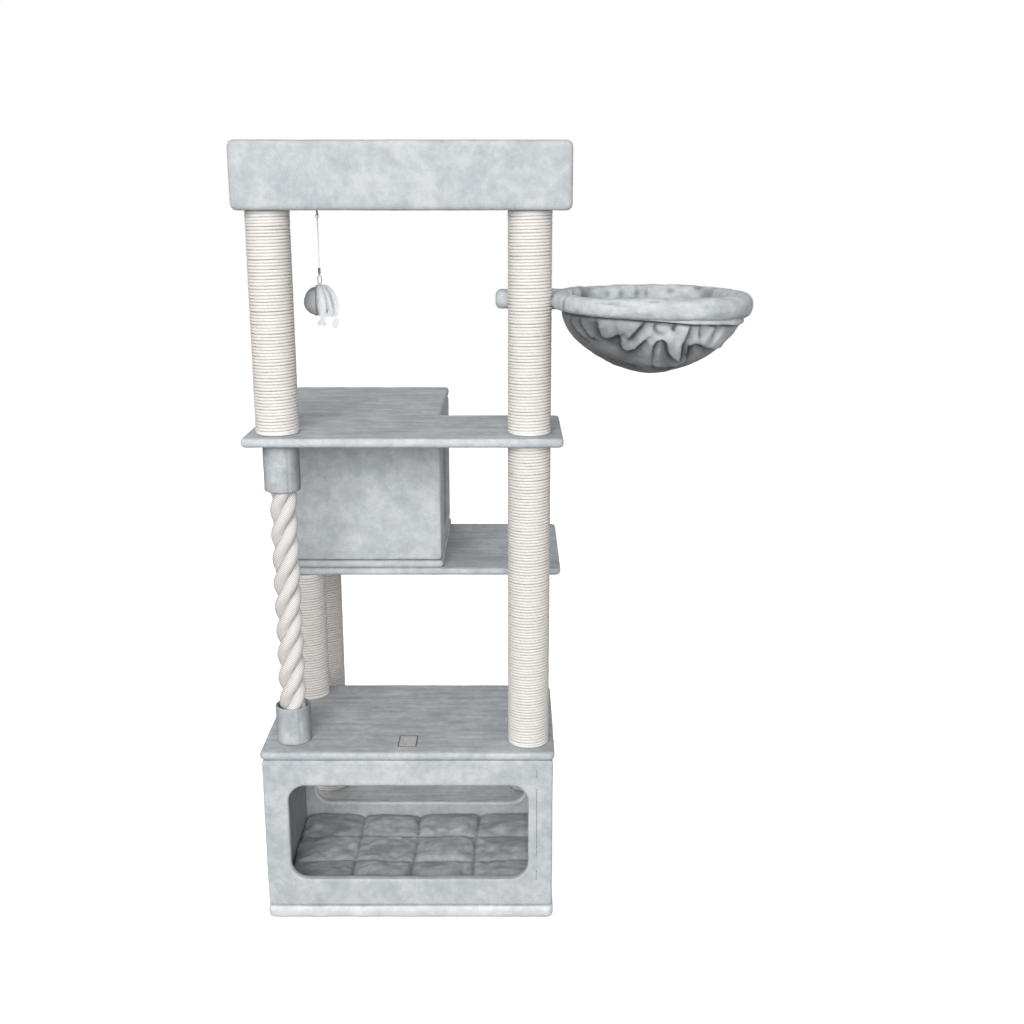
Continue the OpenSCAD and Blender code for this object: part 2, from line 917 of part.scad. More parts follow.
// The clasp: an oval snap ring on a stem that turns in the swivel.
module toy_clasp() {
  r = clasp_w / 2;
  low = clasp_top_z - clasp_h + r;
  high = clasp_top_z - 2 - r;
  color(steel) {
    rod_at([toy_x, toy_y], clasp_top_z - 3, swivel_top_z - swivel_h + 5, 1);
    translate([toy_x, toy_y + clasp_t / 2, 0]) rotate([90, 0, 0]) linear_extrude(clasp_t) {
      difference() {
        union() {
          translate([0, low]) circle(r);
          translate([0, high]) circle(r);
          translate([-r, low]) square([2 * r, high - low]);
        }
        translate([0, low]) circle(r - 1.6);
        translate([0, high]) circle(r - 1.6);
        translate([-r + 1.6, low]) square([2 * r - 3.2, high - low]);
      }
    }
  }
}

// The ball, with its own small ring through the clasp.
module toy_ball() {
  color("#8f979b") {
    translate([ball_x, toy_y, ball_z]) sphere(r = ball_r, $fn = 96);
    rod_at([toy_x, toy_y], ball_z + ball_r - 2, ball_eye_z - ball_eye_r, 0.9);
    translate([toy_x, toy_y, ball_eye_z]) rotate([0, 90, 0]) wire_ring(ball_eye_r, 0.7);
  }
}

// A feather: a narrow quill that bends over the ball, then a leaf that hangs beside it.
module feather(direction, hang, width) {
  r = (pow(hang / 2, 2) + pow(width / 2, 2)) / width;
  translate([ball_x, toy_y, ball_z]) rotate([0, 0, direction]) {
    rotate([90, 0, 0]) rotate_extrude(angle = 70) {
      translate([ball_r + 1, -quill_w / 2]) square([feather_t, quill_w]);
    }
    translate([ball_r + 1, 0, 6 - hang / 2]) rotate([90, 0, 90]) linear_extrude(feather_t) {
      intersection() {
        translate([r - width / 2, 0]) circle(r, $fn = 96);
        translate([width / 2 - r, 0]) circle(r, $fn = 96);
      }
    }
  }
}

module toy_feathers() {
  color("white") for (f = feathers) feather(f[0], f[1], f[2]);
}

base_board();
base_front_panel();
base_back_panel();
base_left_panel();
base_right_panel();
base_top_board();
base_cushion();
care_patch();
lower_shelf();
bridge_shelf();
house_floor();
house_front_panel();
house_back_panel();
house_left_panel();
house_right_panel();
core_lower_right();
core_upper_right();
core_upper_left();
core_middle_left();
core_middle_right();
core_rear_left();
core_rear_right();
sisal_lower_right();
sisal_upper_right();
sisal_upper_left();
sisal_middle_left();
sisal_middle_right();
sisal_rear_left();
sisal_rear_right();
post_end_discs();
board_bolts();
post_studs();
panel_screws();
climbing_rope();
rope_sleeve_lower();
rope_sleeve_upper();
rope_end_blocks();
tray_floor();
tray_front_wall();
tray_back_wall();
tray_left_wall();
tray_right_wall();
tray_cushion();
hammock_arm();
hammock_arm_cover();
hammock_hoop();
hammock_rim();
hammock_bowl();
hammock_bolts();
toy_eye();
toy_link();
toy_knot();
toy_cord();
toy_swivel();
toy_clasp();
toy_ball();
toy_feathers();
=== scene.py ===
"""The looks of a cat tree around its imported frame. Metres, +Z up, and the front faces -Y."""

import itertools
import json
import math

import bmesh
import bpy
import numpy as np
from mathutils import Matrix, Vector

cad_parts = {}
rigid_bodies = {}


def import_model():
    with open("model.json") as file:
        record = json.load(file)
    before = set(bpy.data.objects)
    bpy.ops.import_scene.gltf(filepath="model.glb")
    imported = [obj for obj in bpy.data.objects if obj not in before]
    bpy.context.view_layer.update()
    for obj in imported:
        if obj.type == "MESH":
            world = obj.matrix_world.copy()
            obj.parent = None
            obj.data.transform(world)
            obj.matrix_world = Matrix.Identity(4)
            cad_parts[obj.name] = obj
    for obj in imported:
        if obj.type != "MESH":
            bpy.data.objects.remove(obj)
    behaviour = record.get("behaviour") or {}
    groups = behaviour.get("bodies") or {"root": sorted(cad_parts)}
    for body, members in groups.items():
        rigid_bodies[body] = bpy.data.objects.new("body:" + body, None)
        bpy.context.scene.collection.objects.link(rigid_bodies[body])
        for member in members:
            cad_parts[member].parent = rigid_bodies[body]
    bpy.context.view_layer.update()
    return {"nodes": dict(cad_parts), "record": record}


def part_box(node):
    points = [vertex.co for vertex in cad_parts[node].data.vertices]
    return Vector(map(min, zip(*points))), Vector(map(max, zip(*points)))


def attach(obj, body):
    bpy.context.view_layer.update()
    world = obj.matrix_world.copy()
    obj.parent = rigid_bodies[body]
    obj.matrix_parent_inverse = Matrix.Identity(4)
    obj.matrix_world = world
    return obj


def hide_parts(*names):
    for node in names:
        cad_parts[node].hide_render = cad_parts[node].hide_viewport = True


for leftover in list(bpy.data.objects):
    bpy.data.objects.remove(leftover)

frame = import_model()

BODY_OF = {n: b for b, nodes in frame["record"]["behaviour"]["bodies"].items() for n in nodes}
SLOT_OF = {s["node"]: s["material_slot"] for s in frame["record"]["subparts"]}

# ---------- sizes that the looks add ----------

PILE_VOXEL = 0.0048  # mesh size of the plush covers
BOARD_EDGE = 0.006  # how round the plush leaves a board's edges
SISAL_PITCH = 0.0063  # from one turn of sisal to the next
STEPS_A_TURN = 52  # mesh steps in each turn of sisal
ROPE_LAY = 0.160  # length in which a strand of the climbing rope goes once round
PLY_LAY = 0.030  # length in which a ply goes once round the sisal rope
YARNS = 19  # yarns round each strand of the climbing rope
YARN_LAY = 0.308  # length in which a yarn goes once round its strand
TAU = 2 * math.pi

EYE = Vector((0.2255, -2.7717, 1.5685))  # where the camera stands
CAMERA_TILT = 0.255  # how far it looks down, in radians
LENS = 43.45  # its focal length in millimetres


# ---------- camera, light and floor ----------


def make_camera():
    data = bpy.data.cameras.new("camera")
    data.lens, data.sensor_width = LENS, 36
    camera = in_scene("camera", data)
    camera.location = EYE
    camera.rotation_euler = (math.pi / 2 - CAMERA_TILT, 0, 0)
    bpy.context.scene.camera = camera


def area_light(name, place, target, size, watts):
    data = bpy.data.lights.new(name, "AREA")
    data.shape, data.size, data.size_y = "RECTANGLE", size[0], size[1]
    data.energy = watts
    lamp = in_scene(name, data)
    lamp.location = place
    lamp.rotation_euler = (Vector(target) - Vector(place)).to_track_quat("-Z", "Y").to_euler()


# ---------- toy cord: the same route as its CAD solid ----------

CORD_TOP, CORD_FOOT, CORD_STEP = 1.508, 1.413, 0.006
CORD_BOW = (0, 0, 0, 1, 2, 3, 4, 5, 5, 5, 4, 3, 2, 1, 0, 0, 0)  # to the right, in tenths of a mm
CORD_ROUTE = [(-0.172 + bow / 10000, -0.180, max(CORD_TOP - CORD_STEP * k, CORD_FOOT))
              for k, bow in enumerate(CORD_BOW)]


# ---------- noise and mesh helpers ----------


def value_noise(points, seed=0):
    """Smooth noise from -1 to 1 at each point, the same on every run."""
    cell = np.floor(points).astype(np.int64)
    part = points - cell
    part = part * part * (3 - 2 * part)
    total = np.zeros(len(points))
    for corner in itertools.product((0, 1), repeat=3):
        at = cell + np.array(corner)
        mixed = at[:, 0] * 374761393 + at[:, 1] * 668265263 + at[:, 2] * 2246822519 + seed * 974711
        mixed = (mixed ^ (mixed >> 13)) * 1274126177 & 0x7FFFFFFF
        mixed = (mixed ^ (mixed >> 16)) & 0xFFFF
        weight = np.prod(np.where(corner, part, 1 - part), axis=1)
        total += weight * (mixed / 32767.5 - 1)
    return total


def cloudy(points, size, octaves=2, seed=0):
    """Noise in octaves, whose largest lumps are about size across."""
    total = np.zeros(len(points))
    for k in range(octaves):
        total += value_noise(points * 2**k / size, seed + k) / 2**k
    return total


def points_of(obj, key="co"):
    """The places of an object's points, or, where key says "normal", their normals."""
    flat = np.zeros(len(obj.data.vertices) * 3)
    obj.data.vertices.foreach_get(key, flat)
    return flat.reshape(-1, 3)


def normals_of(obj):
    return points_of(obj, "normal")


def put_points(obj, points):
    obj.data.vertices.foreach_set("co", np.ascontiguousarray(points, dtype=float).ravel())
    obj.data.update()


def push_out(obj, lift):
    """Moves each point out along its normal."""
    put_points(obj, points_of(obj) + normals_of(obj) * lift[:, None])


def shade_smooth(mesh):
    mesh.polygons.foreach_set("use_smooth", np.ones(len(mesh.polygons), bool))


def in_scene(name, data):
    obj = bpy.data.objects.new(name, data)
    bpy.context.scene.collection.objects.link(obj)
    return obj


def add_object(name, mesh, material):
    obj = in_scene(name, mesh)
    mesh.materials.clear()
    mesh.materials.append(MATERIALS[material])
    shade_smooth(mesh)
    return obj


def circle(count):
    """Angles evenly round a circle."""
    return np.linspace(0, TAU, count, endpoint=False)


def spokes(angle):
    """Unit vectors at angles in the XY plane."""
    return np.stack([np.cos(angle), np.sin(angle), np.zeros(len(angle))], axis=1)


def wrapped(angle):
    """An angle brought between -pi and pi."""
    return np.angle(np.exp(1j * angle))


def unit(vectors):
    return vectors / np.linalg.norm(vectors, axis=1)[:, None]


def hill(far, width):
    """1 at 0, falling off smoothly over width."""
    return np.exp(-(far / width) ** 2)


def modified(obj, kind, **settings):
    """Applies a modifier to an object's mesh."""
    modifier = obj.modifiers.new(kind, kind)
    for key, value in settings.items():
        setattr(modifier, key, value)
    graph = bpy.context.evaluated_depsgraph_get()
    graph.update()
    obj.data = bpy.data.meshes.new_from_object(obj.evaluated_get(graph))
    obj.modifiers.clear()
    shade_smooth(obj.data)


def lengths(path):
    """How far along a path each of its points is."""
    return np.concatenate([[0], np.cumsum(np.linalg.norm(np.diff(path, axis=0), axis=1))])


def tubes_mesh(name, tubes, caps=True, closed=False):
    """One mesh of tubes, each an array of rings by sides by 3, with its length and turn as UVs."""
    verts, faces, uvs = [], [], []
    first = 0
    for rings in tubes:
        count, sides = rings.shape[:2]
        i, j = np.indices((count if closed else count - 1, sides)).reshape(2, -1)
        low, high = first + i * sides, first + (i + 1) % count * sides
        right = (j + 1) % sides
        verts.append(rings.reshape(-1, 3))
        faces += np.stack([low + j, low + right, high + right, high + j], axis=1).tolist()
        run = lengths(rings.mean(axis=1))
        low, high = run[i], run[(i + 1) % count]
        left, right = j / sides, (j + 1) / sides
        corners = [low, left, low, right, high, right, high, left]
        uvs.append(np.stack(corners, axis=1).reshape(-1, 2))
        if caps and not closed:
            last = first + (count - 1) * sides
            faces += [list(range(first, first + sides))[::-1], list(range(last, last + sides))]
            uvs.append(np.zeros((2 * sides, 2)))
        first += count * sides
    mesh = bpy.data.meshes.new(name)
    mesh.from_pydata(np.concatenate(verts).tolist(), [], faces)
    layer = mesh.uv_layers.new(name="strand")
    layer.data.foreach_set("uv", np.concatenate(uvs).ravel())
    mesh.validate()
    return mesh


def tube_object(name, tubes, material, **kind):
    return add_object(name, tubes_mesh(name, tubes, **kind), material)


def sweep(path, radius, sides, up=(0, 0, 1)):
    """Rings of a tube round a path. radius may be one number, one a ring, or rings by sides."""
    path = np.asarray(path, float)
    along = unit(np.gradient(path, axis=0))
    side = unit(np.cross(along, np.asarray(up, float)))
    over = np.cross(side, along)
    angle = circle(sides)[None, :]
    radius = np.asarray(radius, float)
    if radius.ndim == 1:
        radius = radius[:, None]
    spread = (np.cos(angle)[..., None] * side[:, None, :]
              + np.sin(angle)[..., None] * over[:, None, :])
    return path[:, None, :] + np.broadcast_to(radius, spread.shape[:2])[..., None] * spread


def ride_with(obj, node_name):
    """The piece moves with a CAD node's body."""
    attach(obj, BODY_OF[node_name])
    return obj


def stand_for(obj, node_name):
    """The piece is shown in place of a CAD node."""
    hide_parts(node_name)
    return ride_with(obj, node_name)


# ---------- materials ----------


def new_material(name, paint, *values):
    """A material, painted by a function of its tree and the coordinates to lay patterns out in."""
    material = bpy.data.materials.new(name)
    material.use_nodes = True
    tree = material.node_tree
    paint(tree, tree.nodes.new("ShaderNodeTexCoord").outputs["Object"], *values)
    return material


def feed(tree, socket, value):
    """Links another node's socket to an input, or sets the input to a number or a colour."""
    if isinstance(value, bpy.types.NodeSocket):
        tree.links.new(value, socket)
    else:
        socket.default_value = value


def node(tree, kind, settings=None, **inputs):
    """Adds a shader node. Inputs are numbers, colours or other nodes' sockets, spaces as _."""
    made = tree.nodes.new("ShaderNode" + kind)
    for key, value in (settings or {}).items():
        setattr(made, key, value)
    for key, value in inputs.items():
        feed(tree, made.inputs[key.replace("_", " ")], value)
    return made


def math_node(tree, operation, first, second=0.5):
    made = node(tree, "Math", {"operation": operation})
    for socket, value in zip(made.inputs, (first, second)):
        feed(tree, socket, value)
    return made.outputs[0]


def noise_node(tree, where, scale, detail=2.0, roughness=0.5, stretch=None):
    if stretch:
        where = node(tree, "Mapping", Vector=where, Scale=stretch).outputs[0]
    return node(tree, "TexNoise", Vector=where, Scale=scale, Detail=detail,
                Roughness=roughness).outputs["Fac"]


def ramp(tree, value, stops):
    """A colour ramp with (position, grey or colour) stops."""
    made = node(tree, "ValToRGB", Fac=value)
    elements = made.color_ramp.elements
    while len(elements) < len(stops):
        elements.new(0.5)
    for element, (position, colour) in zip(elements, stops):
        element.position = position
        element.color = (*colour, 1) if isinstance(colour, tuple) else (colour,) * 3 + (1,)
    return made.outputs["Color"]


def mixed(tree, blend, factor, first, second):
    first, second = ((*c, 1) if isinstance(c, tuple) else c for c in (first, second))
    return node(tree, "MixRGB", {"blend_type": blend}, Fac=factor, Color1=first,
                Color2=second).outputs["Color"]


def shaded(tree, colour, share, value, *stops):
    """The colour times a ramp of the value, by a share of up to 1."""
    return mixed(tree, "MULTIPLY", share, colour, ramp(tree, value, stops))


def dress(tree, colour, layers, **values):
    """Sets the shader's colour and other values, and stacks (height, strength, distance) bumps."""
    shader = tree.nodes["Principled BSDF"]
    for key, value in {"Base Color": colour, **values}.items():
        feed(tree, shader.inputs[key.replace("_", " ")], value)
    normal = {}
    for height, strength, distance in layers:
        bump = node(tree, "Bump", Height=height, Strength=strength, Distance=distance, **normal)
        normal = {"Normal": bump.outputs["Normal"]}
    for socket in normal.values():
        tree.links.new(socket, shader.inputs["Normal"])


def plush(tree, where, light, dark, level_nap_and_shade=0.80, painted_shade_tone=0.45):
    """Short plush: cloudy nap; level faces darker with brushed streaks, partly the nap and partly
    painted shade; painted shade in folds and on shaded faces; and a fine pile.
    """
    clouds = noise_node(tree, where, 19, 5, 0.6)
    patches = noise_node(tree, where, 62, 4, 0.6)
    fuzz = noise_node(tree, where, 380, 3, 0.6)
    blend = math_node(tree, "ADD", math_node(tree, "MULTIPLY", clouds, 0.62),
                      math_node(tree, "MULTIPLY", patches, 0.38))
    between = tuple((a + b) / 2 for a, b in zip(dark, light))
    colour = ramp(tree, blend, [(0.38, dark), (0.5, between), (0.60, light)])
    colour = shaded(tree, colour, 1.0, fuzz, (0.3, 0.93), (0.7, 1.05))
    # Level faces are darker, with brushed streaks: partly the nap, partly painted shade.
    streaks = noise_node(tree, where, 1, 4, 0.55, stretch=(7, 60, 60))
    up = node(tree, "SeparateXYZ", Vector=node(tree, "NewGeometry").outputs["Normal"]).outputs["Z"]
    level = ramp(tree, up, [(0.6, 0.0), (0.95, 1.0)])
    colour = shaded(tree, colour, level, streaks, (0.35, level_nap_and_shade * 0.84), (0.65, level_nap_and_shade * 1.14))
    # Painted shade: the colour darkens where the mesh's shade attribute marks it.
    painted_shade = node(tree, "Attribute", {"attribute_name": "painted_shade"}).outputs["Fac"]
    colour = mixed(tree, "MULTIPLY", painted_shade, colour, (painted_shade_tone,) * 3)
    pile = noise_node(tree, where, 950, 2, 0.5)
    tufts = noise_node(tree, where, 210, 3, 0.55)
    dress(tree, colour, [(patches, 0.25, 0.004), (tufts, 0.3, 0.0016), (pile, 0.35, 0.0008)],
          Roughness=0.92, Specular_IOR_Level=0.2, Sheen_Weight=0.12, Sheen_Roughness=0.5)


def strand_coordinates(tree):
    """The length along a rope in metres and the turn round it, from 0 to 1."""
    at = node(tree, "UVMap", {"uv_map": "strand"}).outputs["UV"]
    split = node(tree, "SeparateXYZ", Vector=at)
    return split.outputs["X"], split.outputs["Y"]


def twisted(tree, along, turn, twist, count):
    """A wave with count crests round a strand that turns once in twist metres."""
    phase = math_node(tree, "ADD", turn, math_node(tree, "DIVIDE", along, twist))
    wave = math_node(tree, "SINE", math_node(tree, "MULTIPLY", phase, TAU * count))
    return math_node(tree, "MULTIPLY_ADD", wave, 0.5)


def fibres(tree, along, turn, twist, scale):
    """Fine fibres that run round a strand with its twist."""
    phase = math_node(tree, "ADD", turn, math_node(tree, "DIVIDE", along, twist))
    at = node(tree, "CombineXYZ", X=math_node(tree, "MULTIPLY", along, scale[0]),
              Y=math_node(tree, "MULTIPLY", phase, scale[1])).outputs[0]
    return noise_node(tree, at, 1, 3, 0.6)


def sisal(tree, where):
    along, turn = strand_coordinates(tree)
    fibre = fibres(tree, along, turn, PLY_LAY, (130, 26))
    plies = twisted(tree, along, turn, PLY_LAY, 3)
    tone = noise_node(tree, where, 60, 3, 0.6, stretch=(1, 1, 2.5))
    colour = ramp(tree, fibre, [(0.3, (0.83, 0.795, 0.76)), (0.5, (0.90, 0.88, 0.855)),
                                (0.7, (0.93, 0.92, 0.905))])
    colour = shaded(tree, colour, 0.5, tone, (0.35, 0.88), (0.6, 1.0))
    # Painted shade where each turn lies on the next: darker and browner at the top and bottom of
    # each turn.
    wave = math_node(tree, "SINE", math_node(tree, "MULTIPLY", turn, TAU))
    groove = math_node(tree, "ABSOLUTE", wave)
    colour = shaded(tree, colour, 1.0, groove, (0.55, 1.0), (0.98, (0.74, 0.68, 0.63)))
    dress(tree, colour, [(plies, 0.25, 0.0008), (fibre, 0.4, 0.0006)],
          Roughness=0.88, Specular_IOR_Level=0.25)


def cotton_rope(tree, where):
    along, turn = strand_coordinates(tree)
    yarns = twisted(tree, along, turn, YARN_LAY, YARNS)
    fibre = fibres(tree, along, turn, YARN_LAY, (90, 150))
    tone = noise_node(tree, where, 28, 3, 0.55)
    # The ramp's dark end is painted shade in the grooves between the yarns.
    colour = ramp(tree, yarns, [(0.0, (0.50, 0.46, 0.42)), (0.3, (0.84, 0.815, 0.785)),
                                (1.0, (0.94, 0.925, 0.905))])
    colour = shaded(tree, colour, 0.7, fibre, (0.3, 0.86), (0.65, 1.0))
    colour = shaded(tree, colour, 0.5, tone, (0.35, 0.9), (0.65, 1.0))
    dress(tree, colour, [(yarns, 0.3, 0.001), (fibre, 0.4, 0.0006)],
          Roughness=0.85, Sheen_Weight=0.1)


def metal(tree, where, colour, roughness, metallic=1.0, coat=0.0):
    """Metal with fine brushing and a few worn, duller spots."""
    brush = noise_node(tree, where, 1, 4, 0.6, stretch=(2500, 2500, 300))
    wear = noise_node(tree, where, 160, 4, 0.65)
    shade = ramp(tree, wear, [(0.35, tuple(c * 0.82 for c in colour)), (0.6, colour)])
    rough = ramp(tree, wear, [(0.35, min(1.0, roughness + 0.18)), (0.65, roughness)])
    dress(tree, shade, [(brush, 0.12, 0.0002)], Roughness=rough, Metallic=metallic,
          Coat_Weight=coat)


def pine(tree, where):
    warp = noise_node(tree, where, 25, 3, 0.5)
    rings = node(tree, "TexWave", {"wave_type": "RINGS"}, Vector=where, Scale=34, Distortion=5,
                 Detail=3).outputs["Fac"]
    grain = noise_node(tree, where, 1, 4, 0.6, stretch=(40, 900, 900))
    colour = ramp(tree, rings, [(0.2, (0.72, 0.55, 0.34)), (0.8, (0.56, 0.38, 0.20))])
    colour = shaded(tree, colour, 0.7, grain, (0.3, 0.8), (0.7, 1.0))
    colour = shaded(tree, colour, 0.5, warp, (0.3, 0.85), (0.7, 1.0))
    dress(tree, colour, [(grain, 0.3, 0.0005)], Roughness=0.65)


def cardboard(tree, where):
    winding = node(tree, "TexWave", {"bands_direction": "DIAGONAL"}, Vector=where, Scale=9,
                   Distortion=0.4).outputs["Fac"]
    pulp = noise_node(tree, where, 500, 4, 0.65)
    colour = ramp(tree, pulp, [(0.3, (0.36, 0.25, 0.15)), (0.7, (0.47, 0.34, 0.22))])
    colour = shaded(tree, colour, 0.5, winding, (0.0, 0.7), (0.12, 1.0))
    dress(tree, colour, [(winding, 0.2, 0.0008), (pulp, 0.25, 0.0003)], Roughness=0.9)


def thread(tree, where, light, dark):
    """Twisted thread of a cord or a stitch."""
    twist = node(tree, "TexWave", {"bands_direction": "DIAGONAL"}, Vector=where, Scale=420,
                 Distortion=0.6).outputs["Fac"]
    lint = noise_node(tree, where, 1800, 3, 0.6)
    colour = ramp(tree, twist, [(0.15, dark), (0.7, light)])
    colour = shaded(tree, colour, 0.4, lint, (0.3, 0.85), (0.7, 1.0))
    dress(tree, colour, [(twist, 0.4, 0.0003)], Roughness=0.8)


def woven_patch(tree, where):
    warp = node(tree, "TexWave", {"bands_direction": "X"}, Vector=where, Scale=260).outputs["Fac"]
    weft = node(tree, "TexWave", {"bands_direction": "Y"}, Vector=where, Scale=260).outputs["Fac"]
    cloth = math_node(tree, "MULTIPLY", warp, weft)
    tone = noise_node(tree, where, 90, 4, 0.6)
    colour = ramp(tree, tone, [(0.35, (0.52, 0.525, 0.52)), (0.65, (0.66, 0.66, 0.65))])
    colour = shaded(tree, colour, 0.6, cloth, (0.0, 0.8), (0.8, 1.05))
    dress(tree, colour, [(cloth, 0.4, 0.0003)], Roughness=0.75)


def feather(tree, where):
    """Soft white barbs, with a faint glow in place of the light that real ones let through."""
    down = noise_node(tree, where, 700, 3, 0.6)
    colour = ramp(tree, down, [(0.3, (0.66, 0.68, 0.69)), (0.7, (0.80, 0.81, 0.82))])
    dress(tree, colour, [(down, 0.3, 0.0002)], Roughness=0.6, Sheen_Weight=0.3,
          Emission_Color=(1, 1, 1, 1), Emission_Strength=0.02)


def floor(tree, _):
    """A pale floor that is lit from within a little, as a light table is."""
    dress(tree, (0.88, 0.88, 0.88, 1), [], Roughness=0.95, Specular_IOR_Level=0.1,
          Emission_Color=(1, 1, 1, 1), Emission_Strength=0.7)


MATERIALS = {name: new_material(name, *paint) for name, paint in {
    "plush_board": (plush, (0.66, 0.69, 0.71), (0.49, 0.525, 0.55)),
    "plush_cushion": (plush, (0.52, 0.55, 0.57), (0.34, 0.37, 0.39), 1.0),
    # The hammock's plush: deeper painted shade in its folds, and its level faces not darkened.
    "plush_soft": (plush, (0.66, 0.69, 0.71), (0.45, 0.485, 0.51), 1.0, 0.11),
    "patch": (woven_patch,),
    "sisal": (sisal,),
    "cotton_rope": (cotton_rope,),
    "cardboard_core": (cardboard,),
    "pine": (pine,),
    "zinc_steel": (metal, (0.55, 0.56, 0.58), 0.35),
    "frame_steel": (metal, (0.03, 0.03, 0.032), 0.4, 0.6, 0.3),
    "toy_metal": (metal, (0.15, 0.15, 0.155), 0.32),
    "toy_cord": (thread, (0.96, 0.96, 0.95), (0.82, 0.82, 0.81)),
    "toy_plush": (plush, (0.46, 0.485, 0.50), (0.25, 0.27, 0.285), 1.0, 0.2),
    # A lighter copy of the board plush: painted light on the base board and on the rear opening's
    # roll.
    "plush_painted_light": (plush, (0.86, 0.885, 0.90), (0.66, 0.69, 0.71)),
    "feather": (feather,),
    "stitching": (thread, (0.22, 0.23, 0.24), (0.12, 0.125, 0.13)),
    "floor": (floor,),
}.items()}


# ---------- plush-covered boards ----------


def rectangle(low, high, corner, steps=6):
    """A rectangle with round corners, anticlockwise."""
    loop = []
    for quarter, (x, y) in enumerate([(high[0], low[1]), (high[0], high[1]),
                                      (low[0], high[1]), (low[0], low[1])]):
        cx = x - corner if x == high[0] else x + corner
        cy = y - corner if y == high[1] else y + corner
        for k in range(steps + 1):
            angle = (quarter - 1 + k / steps) * math.pi / 2
            loop.append((cx + corner * math.cos(angle), cy + corner * math.sin(angle)))
    return loop


def rounded_path(points, corner, steps=6):
    """A closed outline through corner points, each rounded off."""
    loop = []
    count = len(points)
    for k in range(count):
        before, here, after = (np.array(points[(k + d) % count], float) for d in (-1, 0, 1))
        start = here + (before - here) / np.linalg.norm(before - here) * corner
        end = here + (after - here) / np.linalg.norm(after - here) * corner
        for t in np.linspace(0, 1, steps + 1):
            loop.append(tuple((1 - t) ** 2 * start + 2 * t * (1 - t) * here + t * t * end))
    return loop


def plate(name, loops, thickness, edge):
    """A closed plate with round edges, in XY with its middle at Z 0. Later loops are openings."""
    curve = bpy.data.curves.new(name, "CURVE")
    curve.dimensions, curve.fill_mode = "2D", "BOTH"
    curve.extrude, curve.bevel_depth = thickness / 2 - edge, edge
    curve.bevel_resolution, curve.offset = 3, -edge
    for k, loop in enumerate(loops):
        loop = loop if k == 0 else loop[::-1]
        spline = curve.splines.new("POLY")
        spline.points.add(len(loop) - 1)
        spline.points.foreach_set("co", [v for x, y in loop for v in (x, y, 0, 1)])
        spline.use_cyclic_u = True
    holder = in_scene(name, curve)
    graph = bpy.context.evaluated_depsgraph_get()
    mesh = bpy.data.meshes.new_from_object(holder.evaluated_get(graph))
    bpy.data.objects.remove(holder)
    work = bmesh.new()
    work.from_mesh(mesh)
    bmesh.ops.remove_doubles(work, verts=work.verts, dist=1e-5)
    bmesh.ops.recalc_face_normals(work, faces=work.faces)
    work.to_mesh(mesh)
    work.free()
    mesh.name = name
    return mesh


def board(node_name, outline=None, openings=(), corner=0.008, edge=BOARD_EDGE, voxel=PILE_VOXEL):
    """A board in its plush cover, in the place of its CAD node."""
    low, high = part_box(node_name)
    thin = int(np.argmin(np.subtract(high, low)))
    a, b = (k for k in range(3) if k != thin)
    loops = [outline or rectangle((low[a], low[b]), (high[a], high[b]), corner)]
    loops += [rectangle(lo, hi, r, 10) for lo, hi, r in openings]
    mesh = plate(node_name + "_cover", loops, high[thin] - low[thin], edge)
    obj = add_object(node_name + "_cover", mesh, SLOT_OF[node_name])
    flat = points_of(obj)
    placed = np.zeros_like(flat)
    placed[:, a], placed[:, b] = flat[:, 0], flat[:, 1]
    placed[:, thin] = flat[:, 2] + (low[thin] + high[thin]) / 2
    put_points(obj, placed)
    if thin == 1:
        obj.data.flip_normals()
    modified(obj, "REMESH", mode="VOXEL", voxel_size=voxel)
    points = points_of(obj)
    lift = 0.00035 * cloudy(points, 0.045, 2, 3) + 0.0002 * cloudy(points, 0.012, 1, 9)
    push_out(obj, lift - 0.0002)
    return stand_for(obj, node_name)


# The openings: their low and high corners across and up, and how round the corners are.
OPENING = ((-0.260, 0.096), (0.260, 0.320), 0.038)
ENTRANCE = ((0.075, 0.775), (0.270, 1.010), 0.036)
INNER_SHADE, TRAY_SHADE = 0.78, 0.13  # how much painted shade two kinds of face get, out of 1


def l_outline():
    """The bridge shelf: a strip along the front, and the house's roof behind its left part."""
    low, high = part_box("bridge_shelf")
    roof_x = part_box("house_right_panel")[1][0] + 0.001
    strip_y = -0.064
    points = [(low[0], low[1]), (high[0], low[1]), (high[0], strip_y), (roof_x, strip_y),
              (roof_x, high[1]), (low[0], high[1])]
    return rounded_path(points, 0.012)


def make_boards():
    base = board("base_board", corner=0.014, edge=0.008)
    # The base board is given the lighter plush copy: painted light.
    base.data.materials[0] = MATERIALS["plush_painted_light"]
    # The front panel's opening is sharper in the photo than the other boards' edges.
    board("base_front_panel", openings=[OPENING], edge=0.004, voxel=0.0038)
    board("base_back_panel", openings=[OPENING], edge=0.008)
    for side in ("left", "right"):
        panel = board(f"base_{side}_panel")
        # Painted shade on the inner face of each side panel, inside the base.
        inward = normals_of(panel)[:, 0] * (1 if side == "left" else -1)
        paint_shade(panel, INNER_SHADE * np.clip(inward * 2 - 1, 0, 1))
    board("base_top_board", corner=0.014, edge=0.007)
    board("lower_shelf", corner=0.012)
    for name in ("floor", "front_panel", "back_panel", "left_panel"):
        board("house_" + name)
    board("house_right_panel", openings=[ENTRANCE])
    board("bridge_shelf", outline=l_outline())
    board("tray_floor")
    for side, corner in (("front", 0.012), ("back", 0.012), ("left", 0.010), ("right", 0.010)):
        wall = board(f"tray_{side}_wall", corner=corner, edge=0.009)
        # Painted shade: the tray's walls are darkened evenly.
        paint_shade(wall, np.full(len(wall.data.vertices), TRAY_SHADE))


# ---------- sisal posts ----------


def post_of(node_name):
    low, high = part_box(node_name)
    return (low[0] + high[0]) / 2, (low[1] + high[1]) / 2, low[2], high[2], (high[0] - low[0]) / 2


